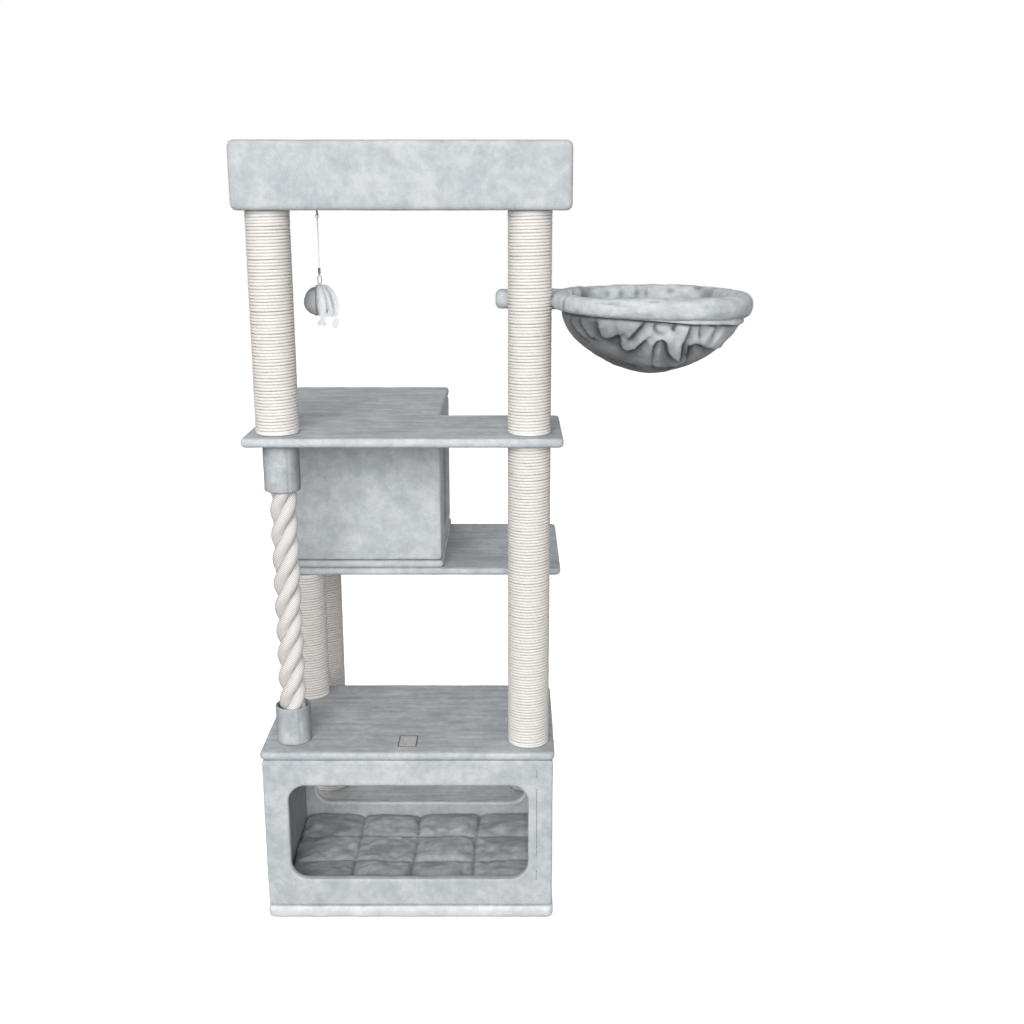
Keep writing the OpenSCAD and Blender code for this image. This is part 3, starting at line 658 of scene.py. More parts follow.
def wound_post(node_name, seed):
    """Sisal rope wound round a post, each turn lying on the one below with small slips."""
    x, y, low, high, radius = post_of(node_name)
    thick = SISAL_PITCH / 2 + 0.00005
    turns = (high - low) / SISAL_PITCH + 0.4
    steps = int(turns * STEPS_A_TURN)
    angle = np.linspace(0, turns * TAU, steps) + seed
    wander = np.stack([angle * 0.9, np.full(steps, seed * 7.3), np.zeros(steps)], axis=1)
    slip = 0.0003 * value_noise(wander, seed) + 0.00035 * value_noise(wander * 0.13, seed + 5)
    lay_radius = radius - thick + 0.0003 * value_noise(wander * 0.7, seed + 9)
    height = low - 0.2 * SISAL_PITCH + SISAL_PITCH * (angle - seed) / TAU + slip
    height = np.clip(height, low + thick + 0.0003, high - thick - 0.0003)
    path = (x, y, 0) + lay_radius[:, None] * spokes(angle)
    path[:, 2] = height
    size = thick * (1 + 0.05 * value_noise(wander * 2.1, seed + 3))
    section = circle(8)
    flat = 1 / np.hypot(np.cos(section) / 0.80, np.sin(section) / 1.12)
    rope = tube_object(node_name + "_rope", [sweep(path, size[:, None] * flat, 8)], "sisal")
    stand_for(rope, node_name)


POSTS = ("lower_right", "upper_right", "upper_left", "middle_left", "middle_right", "rear_left",
         "rear_right")


def make_posts():
    for seed, name in enumerate(POSTS):
        wound_post("sisal_" + name, seed + 1)


# ---------- climbing rope and its sleeves ----------


def make_climbing_rope():
    x, y, low, high, radius = post_of("climbing_rope")
    strand = radius / (1 + 2 / math.sqrt(3))
    centre = radius - strand
    sides, steps = 96, 210
    height = np.linspace(low, high, steps)
    run = (height - low) * math.hypot(1, TAU * centre / ROPE_LAY)
    strands = []
    for k in range(3):
        turn = TAU * ((height - low) / ROPE_LAY + k / 3) + 0.9
        sway = np.stack([height * 9, np.full(steps, k * 3.1), np.zeros(steps)], axis=1)
        out = centre + 0.0006 * value_noise(sway, 4)
        path = (x, y, 0) + out[:, None] * spokes(turn)
        path[:, 2] = height
        phase = YARNS * (circle(sides)[None, :] + TAU * run[:, None] / YARN_LAY)
        ripple = 0.0009 * np.sqrt(np.abs(np.cos(phase / 2))) - 0.0007
        strands.append(sweep(path, strand + ripple, sides))
    obj = tube_object("climbing_rope_strands", strands, "cotton_rope")
    stand_for(obj, "climbing_rope")
    middle = [(x, y, z) for z in np.linspace(low, high, 24)]
    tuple(middle[0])


def revolved(profile, sides, place):
    """Rings of points: the profile, (radius, height) points in a loop, turned round Z."""
    rings = spokes(circle(sides))[:, None, :] * profile[:, 0][None, :, None]
    rings[..., 2] = profile[:, 1]
    return rings + np.array(place)


def resampled(loop, step):
    """Points about step apart along a closed outline."""
    loop = np.asarray(list(loop) + [loop[0]], float)
    run = lengths(loop)
    at = np.linspace(0, run[-1], max(8, round(run[-1] / step)), endpoint=False)
    return np.stack([np.interp(at, run, loop[:, k]) for k in range(2)], axis=1)


def make_sleeve(node_name, seed):
    """A plush sleeve round the rope's end, sewn up its side."""
    x, y, low, high, radius = post_of(node_name)
    thick = 0.004
    outline = rectangle((radius - thick, low), (radius, high), 0.0019, 4)
    rings = revolved(resampled(outline, 0.003), 110, (x, y, 0))
    obj = tube_object(node_name + "_cover", [rings], SLOT_OF[node_name], closed=True)
    points = points_of(obj)
    out = points[:, :2] - (x, y)
    far = np.linalg.norm(out, axis=1)
    angle = np.arctan2(out[:, 1], out[:, 0])
    lift = 0.0007 * cloudy(points, 0.03, 2, seed)
    seam = hill((angle + 1.05) * far, 0.0022)
    lift -= 0.0012 * seam
    points[:, :2] += out / far[:, None] * lift[:, None]
    put_points(obj, points)
    # Painted shade: a little all over, more towards the sleeve's left and right sides, and in its
    # seam.
    paint_shade(obj, 0.08 + 0.5 * np.abs(np.cos(angle)) ** 4 + 0.08 * seam)
    stand_for(obj, node_name)


# ---------- cushions ----------

CLOTH_FRAMES = 20
CUSHION_INSET = 0.003  # how far the cloth starts inside the CAD's sides


def blow_up(obj, held, pressure, cap, slack):
    """Blows up the cloth of a mesh, and keeps every point within cap of its start."""
    start = points_of(obj)
    group = obj.vertex_groups.new(name="held")
    group.add([int(i) for i in held], 1.0, "REPLACE")
    modifier = obj.modifiers.new("cloth", "CLOTH")
    cloth = modifier.settings
    cloth.use_pressure = True
    cloth.uniform_pressure_force = pressure
    cloth.effector_weights.gravity = 0
    cloth.vertex_group_mass = "held"
    cloth.shrink_min = -slack
    cloth.bending_stiffness = 0.5
    cloth.quality = 6
    modifier.collision_settings.use_collision = False
    for step in range(1, CLOTH_FRAMES + 1):
        bpy.context.scene.frame_set(step)
    graph = bpy.context.evaluated_depsgraph_get()
    move = points_of(obj.evaluated_get(graph)) - start
    far = np.linalg.norm(move, axis=1)
    far[far == 0] = 1
    put_points(obj, start + move * (cap * np.tanh(far / cap) / far)[:, None])
    obj.modifiers.clear()
    obj.vertex_groups.clear()
    bpy.context.scene.frame_set(1)


def quilted_cushion(node_name, columns, rows, seed, puff=0.014):
    """A cushion blown up between its sewn lines, with wrinkles that run into the seams."""
    low, high = map(np.array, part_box(node_name))
    start_top = high[2] - low[2] - 0.003
    mesh = plate(node_name + "_quilt", [rectangle(low[:2], high[:2], 0.014)], start_top, 0.011)
    obj = add_object(node_name + "_quilt", mesh, SLOT_OF[node_name])
    points = points_of(obj)
    points[:, 2] += low[2] + start_top / 2
    middle = np.array((Vector(low) + Vector(high)) / 2)[:2]
    half = (high - low)[:2] / 2
    points[:, :2] = middle + (points[:, :2] - middle) * (half - CUSHION_INSET) / half
    put_points(obj, points)
    modified(obj, "REMESH", mode="VOXEL", voxel_size=0.006)
    points = points_of(obj)
    seams = [np.linspace(low[k], high[k], cells + 1)[1:-1]
             for k, cells in enumerate((columns, rows))]

    def to_seam(points):
        """How far the points are from the sewn lines, which wander a little."""
        bend = 0.0045 * cloudy(points * (1, 1, 0), 0.13, 1, seed)
        across = [np.abs((points[:, k] + bend)[:, None] - seams[k]).min(axis=1) for k in (0, 1)]
        return np.minimum(*across)

    near = to_seam(points)
    top = points[:, 2] > low[2] + start_top * 0.6
    inner = np.minimum(points - low, high - points)[:, :2].min(axis=1)
    dip = np.where(top, 0.005 * hill(near, 0.008), 0)
    points[:, 2] -= dip * np.clip(inner / 0.03, 0.25, 1)
    put_points(obj, points)
    bottom = points[:, 2] < low[2] + 0.002
    held = np.flatnonzero(bottom | (top & (near < 0.0032) & (inner > 0.018)))
    blow_up(obj, held, 4.0, puff, 0.05)
    modified(obj, "SUBSURF", levels=1, render_levels=1)
    points, normals = points_of(obj), normals_of(obj)
    near = to_seam(points)
    top = np.clip(normals[:, 2] * 2, 0, 1)
    groove = hill(near, 0.0028) * top
    lift = 0.0005 * cloudy(points, 0.014, 2, seed + 2) - 0.0022 * groove
    slanted = np.stack([points[:, 0] * 0.82 + points[:, 1] * 0.57,
                        (points[:, 1] * 0.82 - points[:, 0] * 0.57) * 4.5, points[:, 2]], axis=1)
    wrinkle = cloudy(slanted, 0.11, 2, seed + 4) * np.clip(near / 0.02, 0, 1)
    lift += 0.0032 * wrinkle * top
    points += normals * lift[:, None]
    points[:, 2] = np.maximum(points[:, 2], low[2])
    put_points(obj, points)
    # Painted shade in the sewn grooves and in the wrinkles' hollows on top.
    paint_shade(obj, groove * 0.7 + np.clip(0.1 - wrinkle, 0, 1) * top * 0.6)
    stand_for(obj, node_name)


def paint_shade(obj, depth):
    """Marks how much painted shade each point gets, in folds and on shaded faces, which the plush
    material darkens.
    """
    layer = obj.data.attributes.new("painted_shade", "FLOAT", "POINT")
    layer.data.foreach_set("value", np.clip(depth, 0, 1).astype(np.float32))


# ---------- hammock ----------


HOOP_POWER = 2.5  # the padded ring is a little squarer than its steel hoop
BOWL_POWER = 1.65  # how full the bowl's side is: 1 is a cone, 2 a ball

# The bowl's folds as seen from the front, in millimetres across from its middle and down from
# its top edge. The cloth stands proud on a fold's left, going along it, and falls in on its right.
# Each has its rise, its fall, and how wide each of them is.
BOWL_FOLDS = [
    ([(-112, 10), (-107, 34), (-100, 49), (-88, 54), (-76, 52), (-66, 47)], 7, 12, 20, 16),
    ([(-68, 52), (-65, 65), (-58, 75), (-46, 78), (-31, 74), (-20, 64), (-8, 54)], 7, 11, 15, 15),
    ([(-48, 58), (-40, 50), (-27, 36), (-19, 26), (-12, 14)], 4, 10, 20, 11),
    ([(3, 98), (5, 80), (8, 66), (15, 57), (25, 55), (33, 61), (37, 72), (39, 82), (45, 90),
      (55, 95), (63, 92), (66, 80), (67, 66), (74, 51), (81, 36), (85, 18)], 8, 13, 15, 14),
    ([(64, 108), (76, 97), (80, 84), (83, 70), (92, 63), (102, 65), (112, 71), (126, 73),
      (142, 71), (156, 60)], 7, 12, 17, 15),
    ([(-146, 10), (-138, 32), (-127, 47), (-116, 55)], 6, 10, 10, 9),
    ([(-168, 10), (-157, 30), (-142, 47), (-132, 56)], 6, 10, 9, 8),
    ([(-96, 88), (-64, 99), (-24, 108)], 4, 5, 14, 12),
    ([(2, 108), (30, 113), (58, 108)], 4, 5, 11, 10),
    ([(58, 16), (55, 28), (49, 42)], 2, 5, 9, 8),
]
# Dents under the rim: across, down, half width, half height and depth.
BOWL_DENTS = [(26, 33, 19, 14, 12), (113, 37, 11, 15, 12), (142, 40, 11, 15, 11),
              (88, 80, 7, 12, 6)]

# Pinches in the rim: place round the hoop and round the tube in degrees, half length along the
# hoop and across it in millimetres, and depth.
RIM_PINCHES = [
    (141, 160, 6, 26, 1.6), (131, 120, 9, 12, 3.0), (38, 160, 7, 24, 1.6), (50, 115, 12, 11, 4.5),
    (107, 172, 6, 12, 4.0), (95, 168, 5, 12, 4.2), (88, 176, 4, 10, 4.0), (70, 155, 11, 8, 4.0),
    (117, 178, 8, 8, 3.0), (-119, 34, 26, 3, 3.0), (-112, 20, 16, 3, 2.0), (-100, -28, 20, 4, 1.4),
    (-152, 10, 4, 24, 5.0), (-163, 40, 4, 18, 4.0), (-172, 10, 5, 18, 3.0), (-140, -24, 6, 8, 2.0),
    (-58, -30, 16, 4, 1.4), (-75, 60, 22, 5, 1.4), (-66, 12, 14, 4, 1.2), (-24, 20, 5, 16, 2.2),
    (4, -10, 5, 16, 2.4), (74, 75, 12, 8, 2.2), (20, 70, 6, 14, 2.8), (98, 84, 16, 7, 2.0),
    (-95, 48, 12, 4, 2.0), (-44, 30, 16, 4, 1.6), (-34, -14, 10, 6, 1.8), (-12, 50, 6, 12, 2.6),
    (12, 40, 7, 12, 2.4), (58, 95, 14, 6, 2.0), (120, 100, 14, 6, 2.2), (-168, -14, 7, 10, 2.6),
]


def hammock_place():
    """The middle of the hoop, its radius, and the rim tube's radius."""
    low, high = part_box("hammock_rim")
    thick = (high[2] - low[2]) / 2
    centre = (Vector(low) + Vector(high)) / 2
    return centre, (high[0] - low[0]) / 2 - thick, thick


def squircle(angle, power=HOOP_POWER):
    """The radius of a rounded square of half-width 1, by angle."""
    return (np.abs(np.cos(angle)) ** power + np.abs(np.sin(angle)) ** power) ** (-1 / power)


def front_right(angle):
    """0 round most of the ring, up to 1 towards its front right, where it hangs lowest."""
    front = np.clip(-np.sin(angle) * 1.6 + 0.75, 0, 1)
    return front * np.clip(np.cos(angle) * 0.55 + 0.5, 0, 1)


def rim_underside(angle):
    """How far below the hoop the rim's padding reaches, in metres."""
    return 0.0150 + 0.0130 * front_right(angle) + 0.004 * np.clip(np.sin(angle), 0, 1)


def hem_foot(angle):
    """How far below the hoop the hem reaches, in metres."""
    hang = np.clip(front_right(angle) * 1.5 - 0.4, 0, 1) * np.clip(-3 * np.sin(angle) - 0.3, 0, 1)
    return rim_underside(angle) - 0.003 + 0.009 * hang


def make_hammock_rim():
    centre, ring, thick = hammock_place()
    around, sides = 360, 60
    angle, turn = circle(around), circle(sides)
    out = spokes(angle)
    section = squircle(turn, 2.5)
    height = np.where(np.sin(turn)[None, :] < 0, rim_underside(angle)[:, None], thick)
    spread = (thick * (section * np.cos(turn))[None, :, None] * out[:, None, :]
              + (height * (section * np.sin(turn))[None, :])[:, :, None] * np.array([0, 0, 1.0]))
    left = 0.005 * np.clip(-np.cos(angle) * 4 - 3, 0, 1)
    path = np.array(centre) + (ring * squircle(angle) + left)[:, None] * out
    obj = tube_object("hammock_rim_cover", [path[:, None, :] + spread], "plush_soft", closed=True)
    points = points_of(obj)
    place, round_tube = np.repeat(angle, sides), np.tile(turn, around)
    depth = np.zeros(len(points))
    for at, tube_at, half_long, half_wide, deep in RIM_PINCHES:
        along = wrapped(place - math.radians(at)) * ring * 1000
        across = wrapped(round_tube - math.radians(tube_at)) * thick * 1000
        depth += deep * np.exp(-(along / half_long) ** 2 - (across / half_wide) ** 2)
        swell = hill(np.abs(along) - 2.2 * half_long, 1.4 * half_long)
        depth -= 0.16 * deep * swell * hill(across, 1.4 * half_wide)
    lumps = 2.2 * cloudy(points, 0.06, 2, 21) + 0.6 * cloudy(points, 0.018, 2, 27)
    lift = (lumps - depth - 1.6) / 1000
    points += lift[:, None] * spread.reshape(-1, 3) / thick
    put_points(obj, points)
    # Painted shade in the pinches, on the tube's underside, and on its inner side near the back
    # corners.
    under = np.clip(-np.sin(round_tube) - 0.55, 0, 1) * 0.5
    corner = hill(np.abs(wrapped(place - math.pi / 2)) - 0.84, 0.10)
    corner *= np.clip(-np.cos(round_tube), 0, 1) * 0.6
    paint_shade(obj, np.clip(depth / 8 + under + corner, 0, 0.8))
    stand_for(obj, "hammock_rim")


def bowl_share(drop):
    """The bowl's half-width at a share of its depth, as a share of its full half-width."""
    return np.clip(1 - np.clip(drop, 0, 1) ** BOWL_POWER, 0, 1) ** (1 / BOWL_POWER)


def bowl_place(across, down, centre, full, depth, top):
    """Where the line of sight to a place seen from the front meets the bowl.

    The answer is an angle from the front and a drop from the bowl's top, in millimetres."""
    seen = Vector((centre[0] + across / 1000, centre[1], top - down / 1000))
    for k in range(121):
        spot = seen.lerp(EYE, (1 - k / 120) * 0.12)
        drop = (top - spot.z) * 1000
        x, y = spot.x - centre[0], spot.y - centre[1]
        if math.hypot(x, y) * 1000 <= full * float(bowl_share(drop / depth)):
            break
    return math.atan2(x, -y), drop


def fold_field(turn, drop, width, line):
    """How far points are from a fold line, positive on its left, and 0 to 1 along it.

    turn is in radians from the front, drop and width in millimetres."""
    best = np.full(len(turn), 1e9)
    signed, along = np.zeros(len(turn)), np.zeros(len(turn))
    for k, (start, end) in enumerate(zip(line[:-1], line[1:])):
        ax, ay = width * start[0], -start[1]
        px, py = width * turn - ax, -drop - ay
        dx, dy = width * end[0] - ax, -end[1] - ay
        t = np.clip((px * dx + py * dy) / (dx * dx + dy * dy + 1e-9), 0, 1)
        far = np.hypot(px - t * dx, py - t * dy)
        nearer = far < best
        side = np.sign(dx * py - dy * px)
        signed = np.where(nearer, side * far, signed)
        along = np.where(nearer, (k + t) / (len(line) - 1), along)
        best = np.minimum(best, far)
    return signed, along


def bowl_relief(turn, drop, width, place):
    """How proud the cloth stands, in millimetres, and how much painted shade it gets in folds and
    dents, from 0 to 1.
    """
    lift, fold = np.zeros(len(turn)), np.zeros(len(turn))
    for line, rise, fall, rise_wide, fall_wide in BOWL_FOLDS:
        far, along = fold_field(turn, drop, width, [place(*spot) for spot in line])
        fade = np.clip(np.minimum(along, 1 - along) * 6 + 0.2, 0, 1)
        edge = 1 / (1 + np.exp(-far / 1.3))
        up, down = hill(far, rise_wide), hill(far, fall_wide)
        lift += fade * (rise * up * edge - fall * down * (1 - edge))
        # Painted shade along the fold line and on its falling side.
        fold += fade * (1.2 * hill(far + 2.0, 3.2) + 1.05 * down * (1 - edge))
    for across, down, half_wide, half_high, deep in BOWL_DENTS:
        at, low = place(across, down)
        right = (turn - at) * width / half_wide
        dent = np.hypot(right, (drop - low) / half_high)
        hollow = 1 / (1 + np.exp((dent - 1) * 7))
        lift -= deep * hollow
        rim = hill(dent - 0.85, 0.2)
        fold += 0.3 * hollow + rim * np.clip(0.55 - 0.55 * right, 0.15, 1)
    return lift, fold


def make_hammock_bowl():
    low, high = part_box("hammock_bowl")
    centre = hammock_place()[0]
    full, depth = (high[0] - low[0]) / 2 * 1000, (high[2] - low[2]) * 1000
    around, down = 400, 110
    turn = np.linspace(-math.pi, math.pi, around, endpoint=False)
    drops = depth * np.sin(np.linspace(0, 1, down - 4) * math.pi / 2 * 0.985)
    drops = np.concatenate([[-9, -7, -5, -2.5], drops])
    shares = bowl_share(drops / depth)
    drop, turns = np.repeat(drops, around), np.tile(turn, down)
    share = np.repeat(shares, around)
    square = 1 + (squircle(turns, 2.3) - 1) * np.clip(share - 0.2, 0, 1)
    radius = share * square * (full - 12) / 1000
    points = np.stack([centre[0] + radius * np.sin(turns), centre[1] - radius * np.cos(turns),
                       high[2] - drop / 1000], axis=1)
    obj = tube_object("hammock_bowl_cloth", [points.reshape(down, around, 3)], "plush_soft",
                      caps=False)
    points = points_of(obj)
    outward = np.sign(np.mean((points - np.array(centre)) * normals_of(obj)))
    width = share * full

    def place(across, lower):
        return bowl_place(across, lower, centre, full, depth, high[2])

    behind = wrapped(math.pi - turns)
    front_lift, front_fold = bowl_relief(turns, drop, width, place)
    back_lift, back_fold = bowl_relief(behind, drop, width, place)
    near = 1 / (1 + np.exp((np.abs(turns) - math.pi / 2) * 9))
    lumps = 2.0 * cloudy(points, 0.05, 2, 33) + 0.6 * cloudy(points, 0.016, 2, 35)
    settle = np.clip((drop + 2) / 14, 0, 1) * np.clip((share - 0.10) / 0.3, 0.1, 1)
    lift = (front_lift * near + back_lift * (1 - near) + lumps) * settle / 1000
    push_out(obj, outward * lift)
    fold = (front_fold * near + back_fold * (1 - near)) * settle
    # Painted shade: the folds, darker towards the bottom and on the front's left side, and a
    # painted shadow just below the hem.
    left = np.clip(-np.sin(turns) * 1.2 - 0.05, 0, 1)
    shade = 1.7 * np.clip(drop / depth - 0.50, 0, 1) + 0.82 * near * left
    below_hem = drop + (high[2] - centre[2] + hem_foot(turns - math.pi / 2)) * -1000 - 2
    fold = fold * 0.62 + 0.95 * hill(below_hem, 3.5)
    paint_shade(obj, np.clip(fold + shade, 0, 0.92))
    close_bottom(obj, around)
    modified(obj, "SOLIDIFY", thickness=0.004, offset=-1)
    lighten_inside(obj, np.array(centre))
    stand_for(obj, "hammock_bowl")


def lighten_inside(obj, centre):
    """The painted shade of the outer folds hardly shows on the bowl's inner face."""
    layer = obj.data.attributes["painted_shade"]
    depth = np.zeros(len(obj.data.vertices), np.float32)
    layer.data.foreach_get("value", depth)
    inside = np.sum((points_of(obj) - centre) * normals_of(obj), axis=1) < 0
    layer.data.foreach_set("value", np.where(inside, depth * 0.3, depth).astype(np.float32))


def close_bottom(obj, around):
    """Closes the small hole that the last ring of points leaves."""
    work = bmesh.new()
    work.from_mesh(obj.data)
    work.verts.ensure_lookup_table()
    last = work.verts[-around:]
    middle = work.verts.new(sum((v.co for v in last), Vector()) / around)
    for k in range(around):
        work.faces.new((last[k], last[(k + 1) % around], middle))
    bmesh.ops.recalc_face_normals(work, faces=work.faces)
    work.to_mesh(obj.data)
    work.free()
    shade_smooth(obj.data)


def make_hammock_hem():
    """The narrow hem that shows below the rim, where the bowl is sewn on."""
    centre, ring, _ = hammock_place()
    angle = circle(360)
    section = resampled(rectangle((-0.0022, -0.007), (0.0022, 0.007), 0.0021, 4), 0.0015)
    section[:, 1] = section[:, 1] / 0.014 + 0.5
    out = spokes(angle)
    wave = cloudy(out * 3.1, 1.0, 2, 71)
    foot = hem_foot(angle) + 0.0015 * wave
    head = rim_underside(angle) - 0.010
    across = ring * squircle(angle) + 0.0085 + 0.001 * cloudy(out * 6, 1.0, 2, 73)
    tuck = np.clip(np.cos(angle) * 4 - 2.9, 0, 1)
    across -= 0.008 * tuck
    flare = 0.003 * front_right(angle) * (1 - tuck)
    x, z = section.T
    rings = out[:, None, :] * (across[:, None] + x + flare[:, None] * (1 - z))[..., None]
    rings[..., 2] = z * -head[:, None] - (1 - z) * foot[:, None]
    obj = tube_object("hammock_hem", [rings + np.array(centre)], "plush_soft", closed=True)
    ride_with(obj, "hammock_rim")


def make_arm_cover():
    low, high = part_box("hammock_arm_cover")
    y, z, radius = (low[1] + high[1]) / 2, (low[2] + high[2]) / 2, (high[2] - low[2]) / 2
    end_round, take_in = 0.014, 0.001
    outline = [(0.0004, low[0])]
    for k in range(9):
        a = math.pi / 2 * k / 8
        outline.append((radius - end_round + end_round * math.sin(a),
                        low[0] + end_round - end_round * math.cos(a)))
    outline += [(radius, s) for s in np.arange(low[0] + end_round + 0.004, high[0] + 0.012, 0.004)]
    far, along = np.array(outline).T[..., None]
    angle = circle(48)
    rings = [np.broadcast_to(along, (len(outline), 48)), y + far * np.cos(angle),
             z + far * np.sin(angle)]
    obj = tube_object("hammock_arm_sleeve", [np.stack(rings, axis=2)], "plush_soft")
    push_out(obj, 0.0011 * cloudy(points_of(obj), 0.03, 2, 31) - take_in)
    stand_for(obj, "hammock_arm_cover")


# ---------- toy ----------


def make_toy_cord():
    curve = bpy.data.curves.new("toy_string_cord", "CURVE")
    curve.dimensions, curve.bevel_depth, curve.bevel_resolution = "3D", 0.001, 4
    curve.use_fill_caps = True
    spline = curve.splines.new("POLY")
    spline.points.add(len(CORD_ROUTE) - 1)
    for point, place in zip(spline.points, CORD_ROUTE):
        point.co = (*place, 1)
    obj = in_scene("toy_string_cord", curve)
    curve.materials.append(MATERIALS["toy_cord"])
    stand_for(obj, "toy_cord")
    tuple(CORD_ROUTE[0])


def ball_place():
    """The ball's middle and its radius."""
    low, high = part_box("toy_ball")
    radius = (high[0] - low[0]) / 2
    return np.array([(low[0] + high[0]) / 2, (low[1] + high[1]) / 2, low[2] + radius]), radius


def make_toy_ball():
    centre, radius = ball_place()
    mesh = bpy.data.meshes.new("toy_ball_plush")
    work = bmesh.new()
    bmesh.ops.create_icosphere(work, subdivisions=6, radius=radius - 0.0012)
    work.to_mesh(mesh)
    work.free()
    obj = add_object("toy_ball_plush", mesh, "toy_plush")
    points = points_of(obj)
    lift = 0.0009 * cloudy(points, 0.012, 2, 41) + 0.0003 * cloudy(points, 0.003, 1, 43)
    seam = hill(points[:, 0] + 0.001, 0.0012)
    pull = 0.5 + 0.5 * np.sin(points[:, 2] * TAU / 0.004)
    lift -= 0.0012 * seam * (0.7 + 0.3 * pull)
    top = hill(radius - points[:, 2], 0.006)
    push_out(obj, lift)
    put_points(obj, points_of(obj) + centre)
    # Painted shade in the seam and near the ball's top.
    paint_shade(obj, 0.85 * seam + 0.5 * top)
    stand_for(obj, "toy_ball")


# Each feather's quill, in millimetres from the ball's middle: across, towards the back and up;
# then its half width, how far out it is turned to the front, and how many barbs a side it has.
FEATHERS = [
    ([(1, 1, 34), (13, -5, 33.5), (25, -9, 25), (33, -11, 8), (36.5, -11, -14), (36.5, -10, -36),
      (33, -9, -55)], 9.5, 1.0, 190),
    ([(1, -1, 34), (6, -17, 30), (11, -29, 17), (13.5, -34, 0), (13.5, -34, -18),
      (12, -32, -34), (10, -30, -46)], 12.5, 0.8, 180),
    ([(1, 0, 34), (11, -12, 31), (20, -22, 20), (25, -26, 2), (27, -26, -14), (26, -24, -29)],
     10.0, 0.6, 140),
    ([(0, 1, 34), (12, 12, 31), (22, 21, 18), (26, 25, 0), (27, 25, -20), (25, 25, -38)],
     8.5, 0.3, 120),
    ([(-1, 1, 34), (-3, 18, 30), (-4, 31, 14), (-4, 34, -6), (-4, 33.5, -24)], 8.5, 0.0, 100),
]


QUILL_STEPS = 260
CLEAR_OF_BALL = 32.3  # no barb comes nearer to the ball's middle than this, in millimetres


def curve_through(corners, count):
    """Points evenly along a smooth curve through the corners (Catmull-Rom)."""
    corners = np.asarray(corners, float)
    ends = np.vstack([2 * corners[0] - corners[1], corners, 2 * corners[-1] - corners[-2]])
    at = np.linspace(0, len(corners) - 1 - 1e-9, count)
    k = at.astype(int)
    t = (at - k)[:, None]
    a, b, c, d = ends[k], ends[k + 1], ends[k + 2], ends[k + 3]
    return 0.5 * (2 * b + (c - a) * t + (2 * a - 5 * b + 4 * c - d) * t ** 2
                  + (3 * b - a - 3 * c + d) * t ** 3)


def one_feather(corners, half_width, facing, barbs, seed):
    """The quill's rings, and the points of the barbs as flat ribbons."""
    chance = np.random.default_rng(seed)
    quill = curve_through(corners, QUILL_STEPS)
    along, out = unit(np.gradient(quill, axis=0)), unit(quill)
    share = np.linspace(0, 1, QUILL_STEPS)[:, None]
    turn = np.clip(share * 2.2 - 0.3, 0, 1) * facing
    out = out * (1 - turn) + np.array([0.15, -1, 0]) * turn
    across = unit(np.cross(along, out))
    out = np.cross(across, along)
    ribbons = []
    for side in (-1, 1):
        for at in np.linspace(0.07, 0.985, barbs):
            k = int(at * (QUILL_STEPS - 1))
            if at < 0.8:
                wide = half_width * (1 - (2 * min(at * 1.25, 1) - 1) ** 4) ** 0.6
            else:
                wide = half_width * (1 - ((at - 0.8) / 0.2) ** 2) ** 0.5
            long = max(2.0, wide) * chance.uniform(0.92, 1.12)
            slant = chance.normal(0.42, 0.06)
            fluff = chance.normal(0, 0.07)
            steps = np.linspace(0, 1, 6)[:, None]
            reach = steps * long * 1.2
            bend = slant + 0.5 * steps
            line = (quill[k] + across[k] * side * reach * np.cos(bend)
                    + along[k] * reach * np.sin(bend)
                    + out[k] * (fluff * reach - 0.012 * reach ** 2))
            near = np.linalg.norm(line, axis=1)
            line *= (np.maximum(near, CLEAR_OF_BALL) / near)[:, None]
            half = 0.5 * (1 - 0.6 * steps ** 2)
            ribbons.append(np.stack([line - along[k] * half, line + along[k] * half]))
    size = 0.75 * (1 - 0.8 * share[:, 0])
    return sweep(quill, size, 8, up=(0.3, 0.9, 0.2)), ribbons


def make_feathers():
    """Soft feathers: a quill with barbs on both sides, bent over the ball."""
    centre = ball_place()[0]
    work = bmesh.new()
    for seed, (corners, half_width, facing, barbs) in enumerate(FEATHERS):
        rings, ribbons = one_feather(corners, half_width, facing, barbs, seed)
        grid = [[work.verts.new(centre + spot / 1000) for spot in ring] for ring in rings]
        for first, second in zip(grid[:-1], grid[1:]):
            for k in range(len(first)):
                m = (k + 1) % len(first)
                work.faces.new((first[k], first[m], second[m], second[k]))
        work.faces.new(grid[0][::-1])
        work.faces.new(grid[-1])
        for ribbon in ribbons:
            pair = [[work.verts.new(centre + spot / 1000) for spot in edge] for edge in ribbon]
            for k in range(ribbon.shape[1] - 1):
                work.faces.new((pair[0][k], pair[1][k], pair[1][k + 1], pair[0][k + 1]))
    mesh = bpy.data.meshes.new("toy_feather_vanes")
    work.to_mesh(mesh)
    work.free()
    obj = add_object("toy_feather_vanes", mesh, "feather")
    stand_for(obj, "toy_feathers")


def make_rear_roll():
    """The rolled edge of the plush round the rear opening, in the lighter plush: a painted
    highlight.
    """
    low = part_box("base_back_panel")[0]
    (x0, z0), (x1, z1), corner = OPENING
    loop = rectangle((x0 - 0.002, z0 - 0.004), (x1 + 0.002, z1 + 0.002), corner, 14)
    loop = resampled(loop, 0.006)
    wave = 0.0007 * value_noise(np.pad(loop * 14, ((0, 0), (0, 1))), 5)
    path = np.insert(loop, 1, low[1] + 0.0015, axis=1)
    rings = sweep(path, 0.0048 + wave, 14, up=(0, 1, 0))
    obj = tube_object("base_rear_roll", [rings], "plush_painted_light", closed=True)
    ride_with(obj, "base_back_panel")


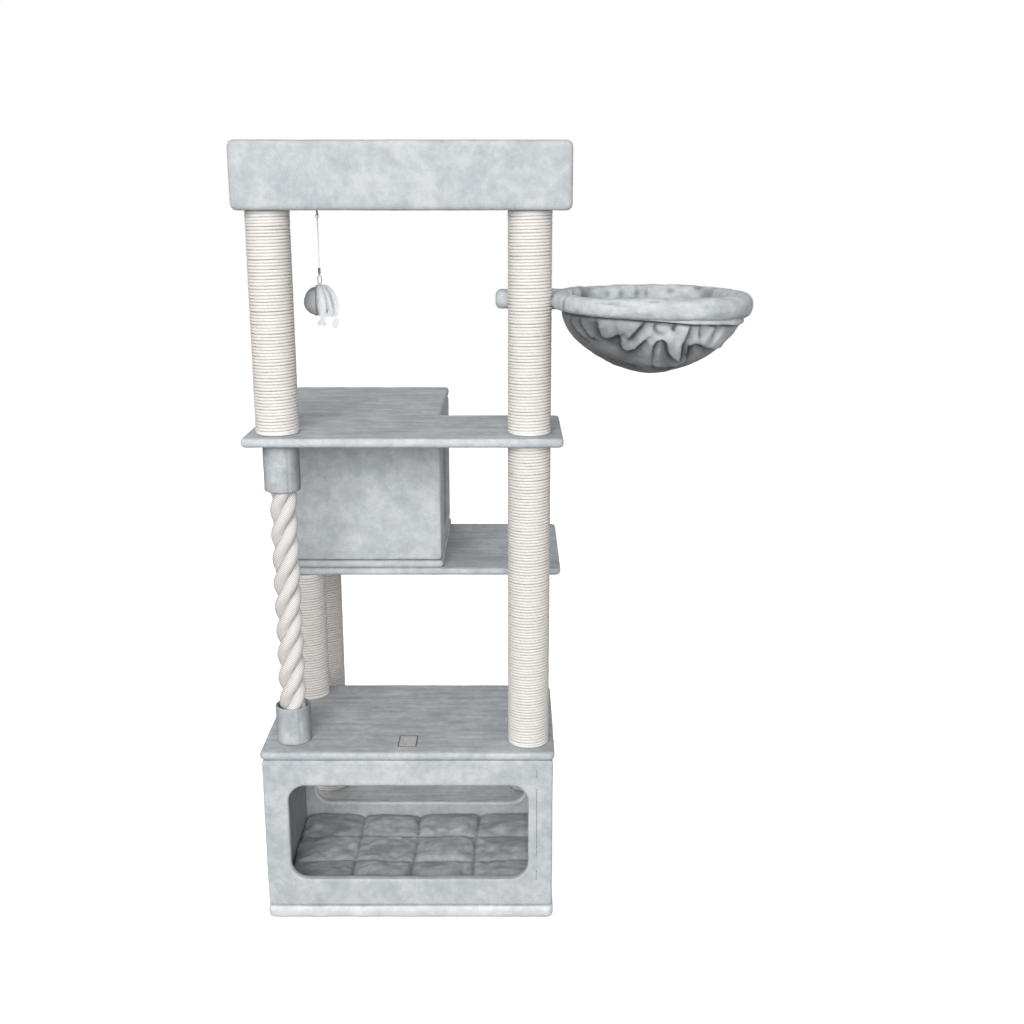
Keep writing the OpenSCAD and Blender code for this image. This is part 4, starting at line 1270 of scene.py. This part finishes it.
def make_patch_edge():
    """The patch's bound edge, a dark cord of stitches."""
    low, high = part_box("care_patch")
    loop = rectangle((low[0] + 0.001, low[1] + 0.001), (high[0] - 0.001, high[1] - 0.001), 0.003, 5)
    path = np.array([(x, y, high[2] + 0.0002) for x, y in loop])
    obj = tube_object("care_patch_edge", [sweep(path, 0.0011, 10)], "stitching", closed=True)
    ride_with(obj, "care_patch")


SEAM_X = 0.279
SEAM_RUNS = ((0.094, 0.119), (0.154, 0.317), (0.341, 0.359))  # from and to, up the panel


def make_front_seam():
    """The row of small stitches that closes the front panel's cover."""
    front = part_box("base_front_panel")[0][1]
    share = np.linspace(0, 1, 7)
    y = front + 0.0002 - 0.0006 * np.sin(share * math.pi)
    tubes = []
    for start, stop in SEAM_RUNS:
        for at in np.arange(start, stop - 0.004, 0.0062):
            path = np.stack([np.full(7, SEAM_X), y, at + 0.0048 * share], axis=1)
            tubes.append(sweep(path, 0.0006, 8, up=(0, 1, 0)))
    obj = tube_object("base_front_stitches", tubes, "stitching")
    ride_with(obj, "base_front_panel")


# ---------- everything ----------


def finish_cad_nodes():
    """Every CAD node that stays in view gets its slot's material."""
    for name, obj in frame["nodes"].items():
        obj.data.materials.clear()
        obj.data.materials.append(MATERIALS[SLOT_OF[name]])


def make_world():
    """Soft light from all round, weaker from below, and plain white behind the object."""
    world = bpy.data.worlds.new("studio")
    world.use_nodes = True
    tree = world.node_tree
    way = node(tree, "TexCoord").outputs["Generated"]
    height = node(tree, "SeparateXYZ", Vector=way).outputs["Z"]
    level = math_node(tree, "MULTIPLY_ADD", height, 0.5)
    glow = ramp(tree, level, [(0.2, 0.05), (0.52, 0.34), (1.0, 0.46)])
    seen = node(tree, "LightPath").outputs["Is Camera Ray"]
    feed(tree, tree.nodes["Background"].inputs["Color"], mixed(tree, "MIX", seen, glow, (1, 1, 1)))
    bpy.context.scene.world = world


FLOOR_REACH = 14.0  # half the floor's side


def make_stage():
    """The floor, the world and three soft lights."""
    mesh = bpy.data.meshes.new("floor")
    corners = np.array([(-1, -1, 0), (1, -1, 0), (1, 1, 0), (-1, 1, 0)]) * FLOOR_REACH
    mesh.from_pydata(corners.tolist(), [], [(0, 1, 2, 3)])
    floor = add_object("floor", mesh, "floor")
    floor.visible_diffuse = False
    make_world()
    bpy.context.scene.view_settings.view_transform = "Standard"
    area_light("front_box", (-0.9, -4.9, 2.8), (0.1, 0.0, 0.8), (3.0, 2.4), 178)
    area_light("front_fill", (0.9, -4.7, 1.8), (0.1, 0.0, 0.8), (2.2, 2.2), 56)
    area_light("back_fill", (-1.2, 4.0, 2.6), (0.1, 0.0, 0.9), (1.8, 1.8), 40)


make_camera()
finish_cad_nodes()
make_toy_cord()
make_boards()
make_posts()
make_climbing_rope()
make_sleeve("rope_sleeve_lower", 51)
make_sleeve("rope_sleeve_upper", 52)
quilted_cushion("base_cushion", 4, 3, 61)
quilted_cushion("tray_cushion", 4, 2, 62)
make_hammock_rim()
make_hammock_bowl()
make_hammock_hem()
make_arm_cover()
make_toy_ball()
make_feathers()
make_front_seam()
make_patch_edge()
make_rear_roll()
make_stage()
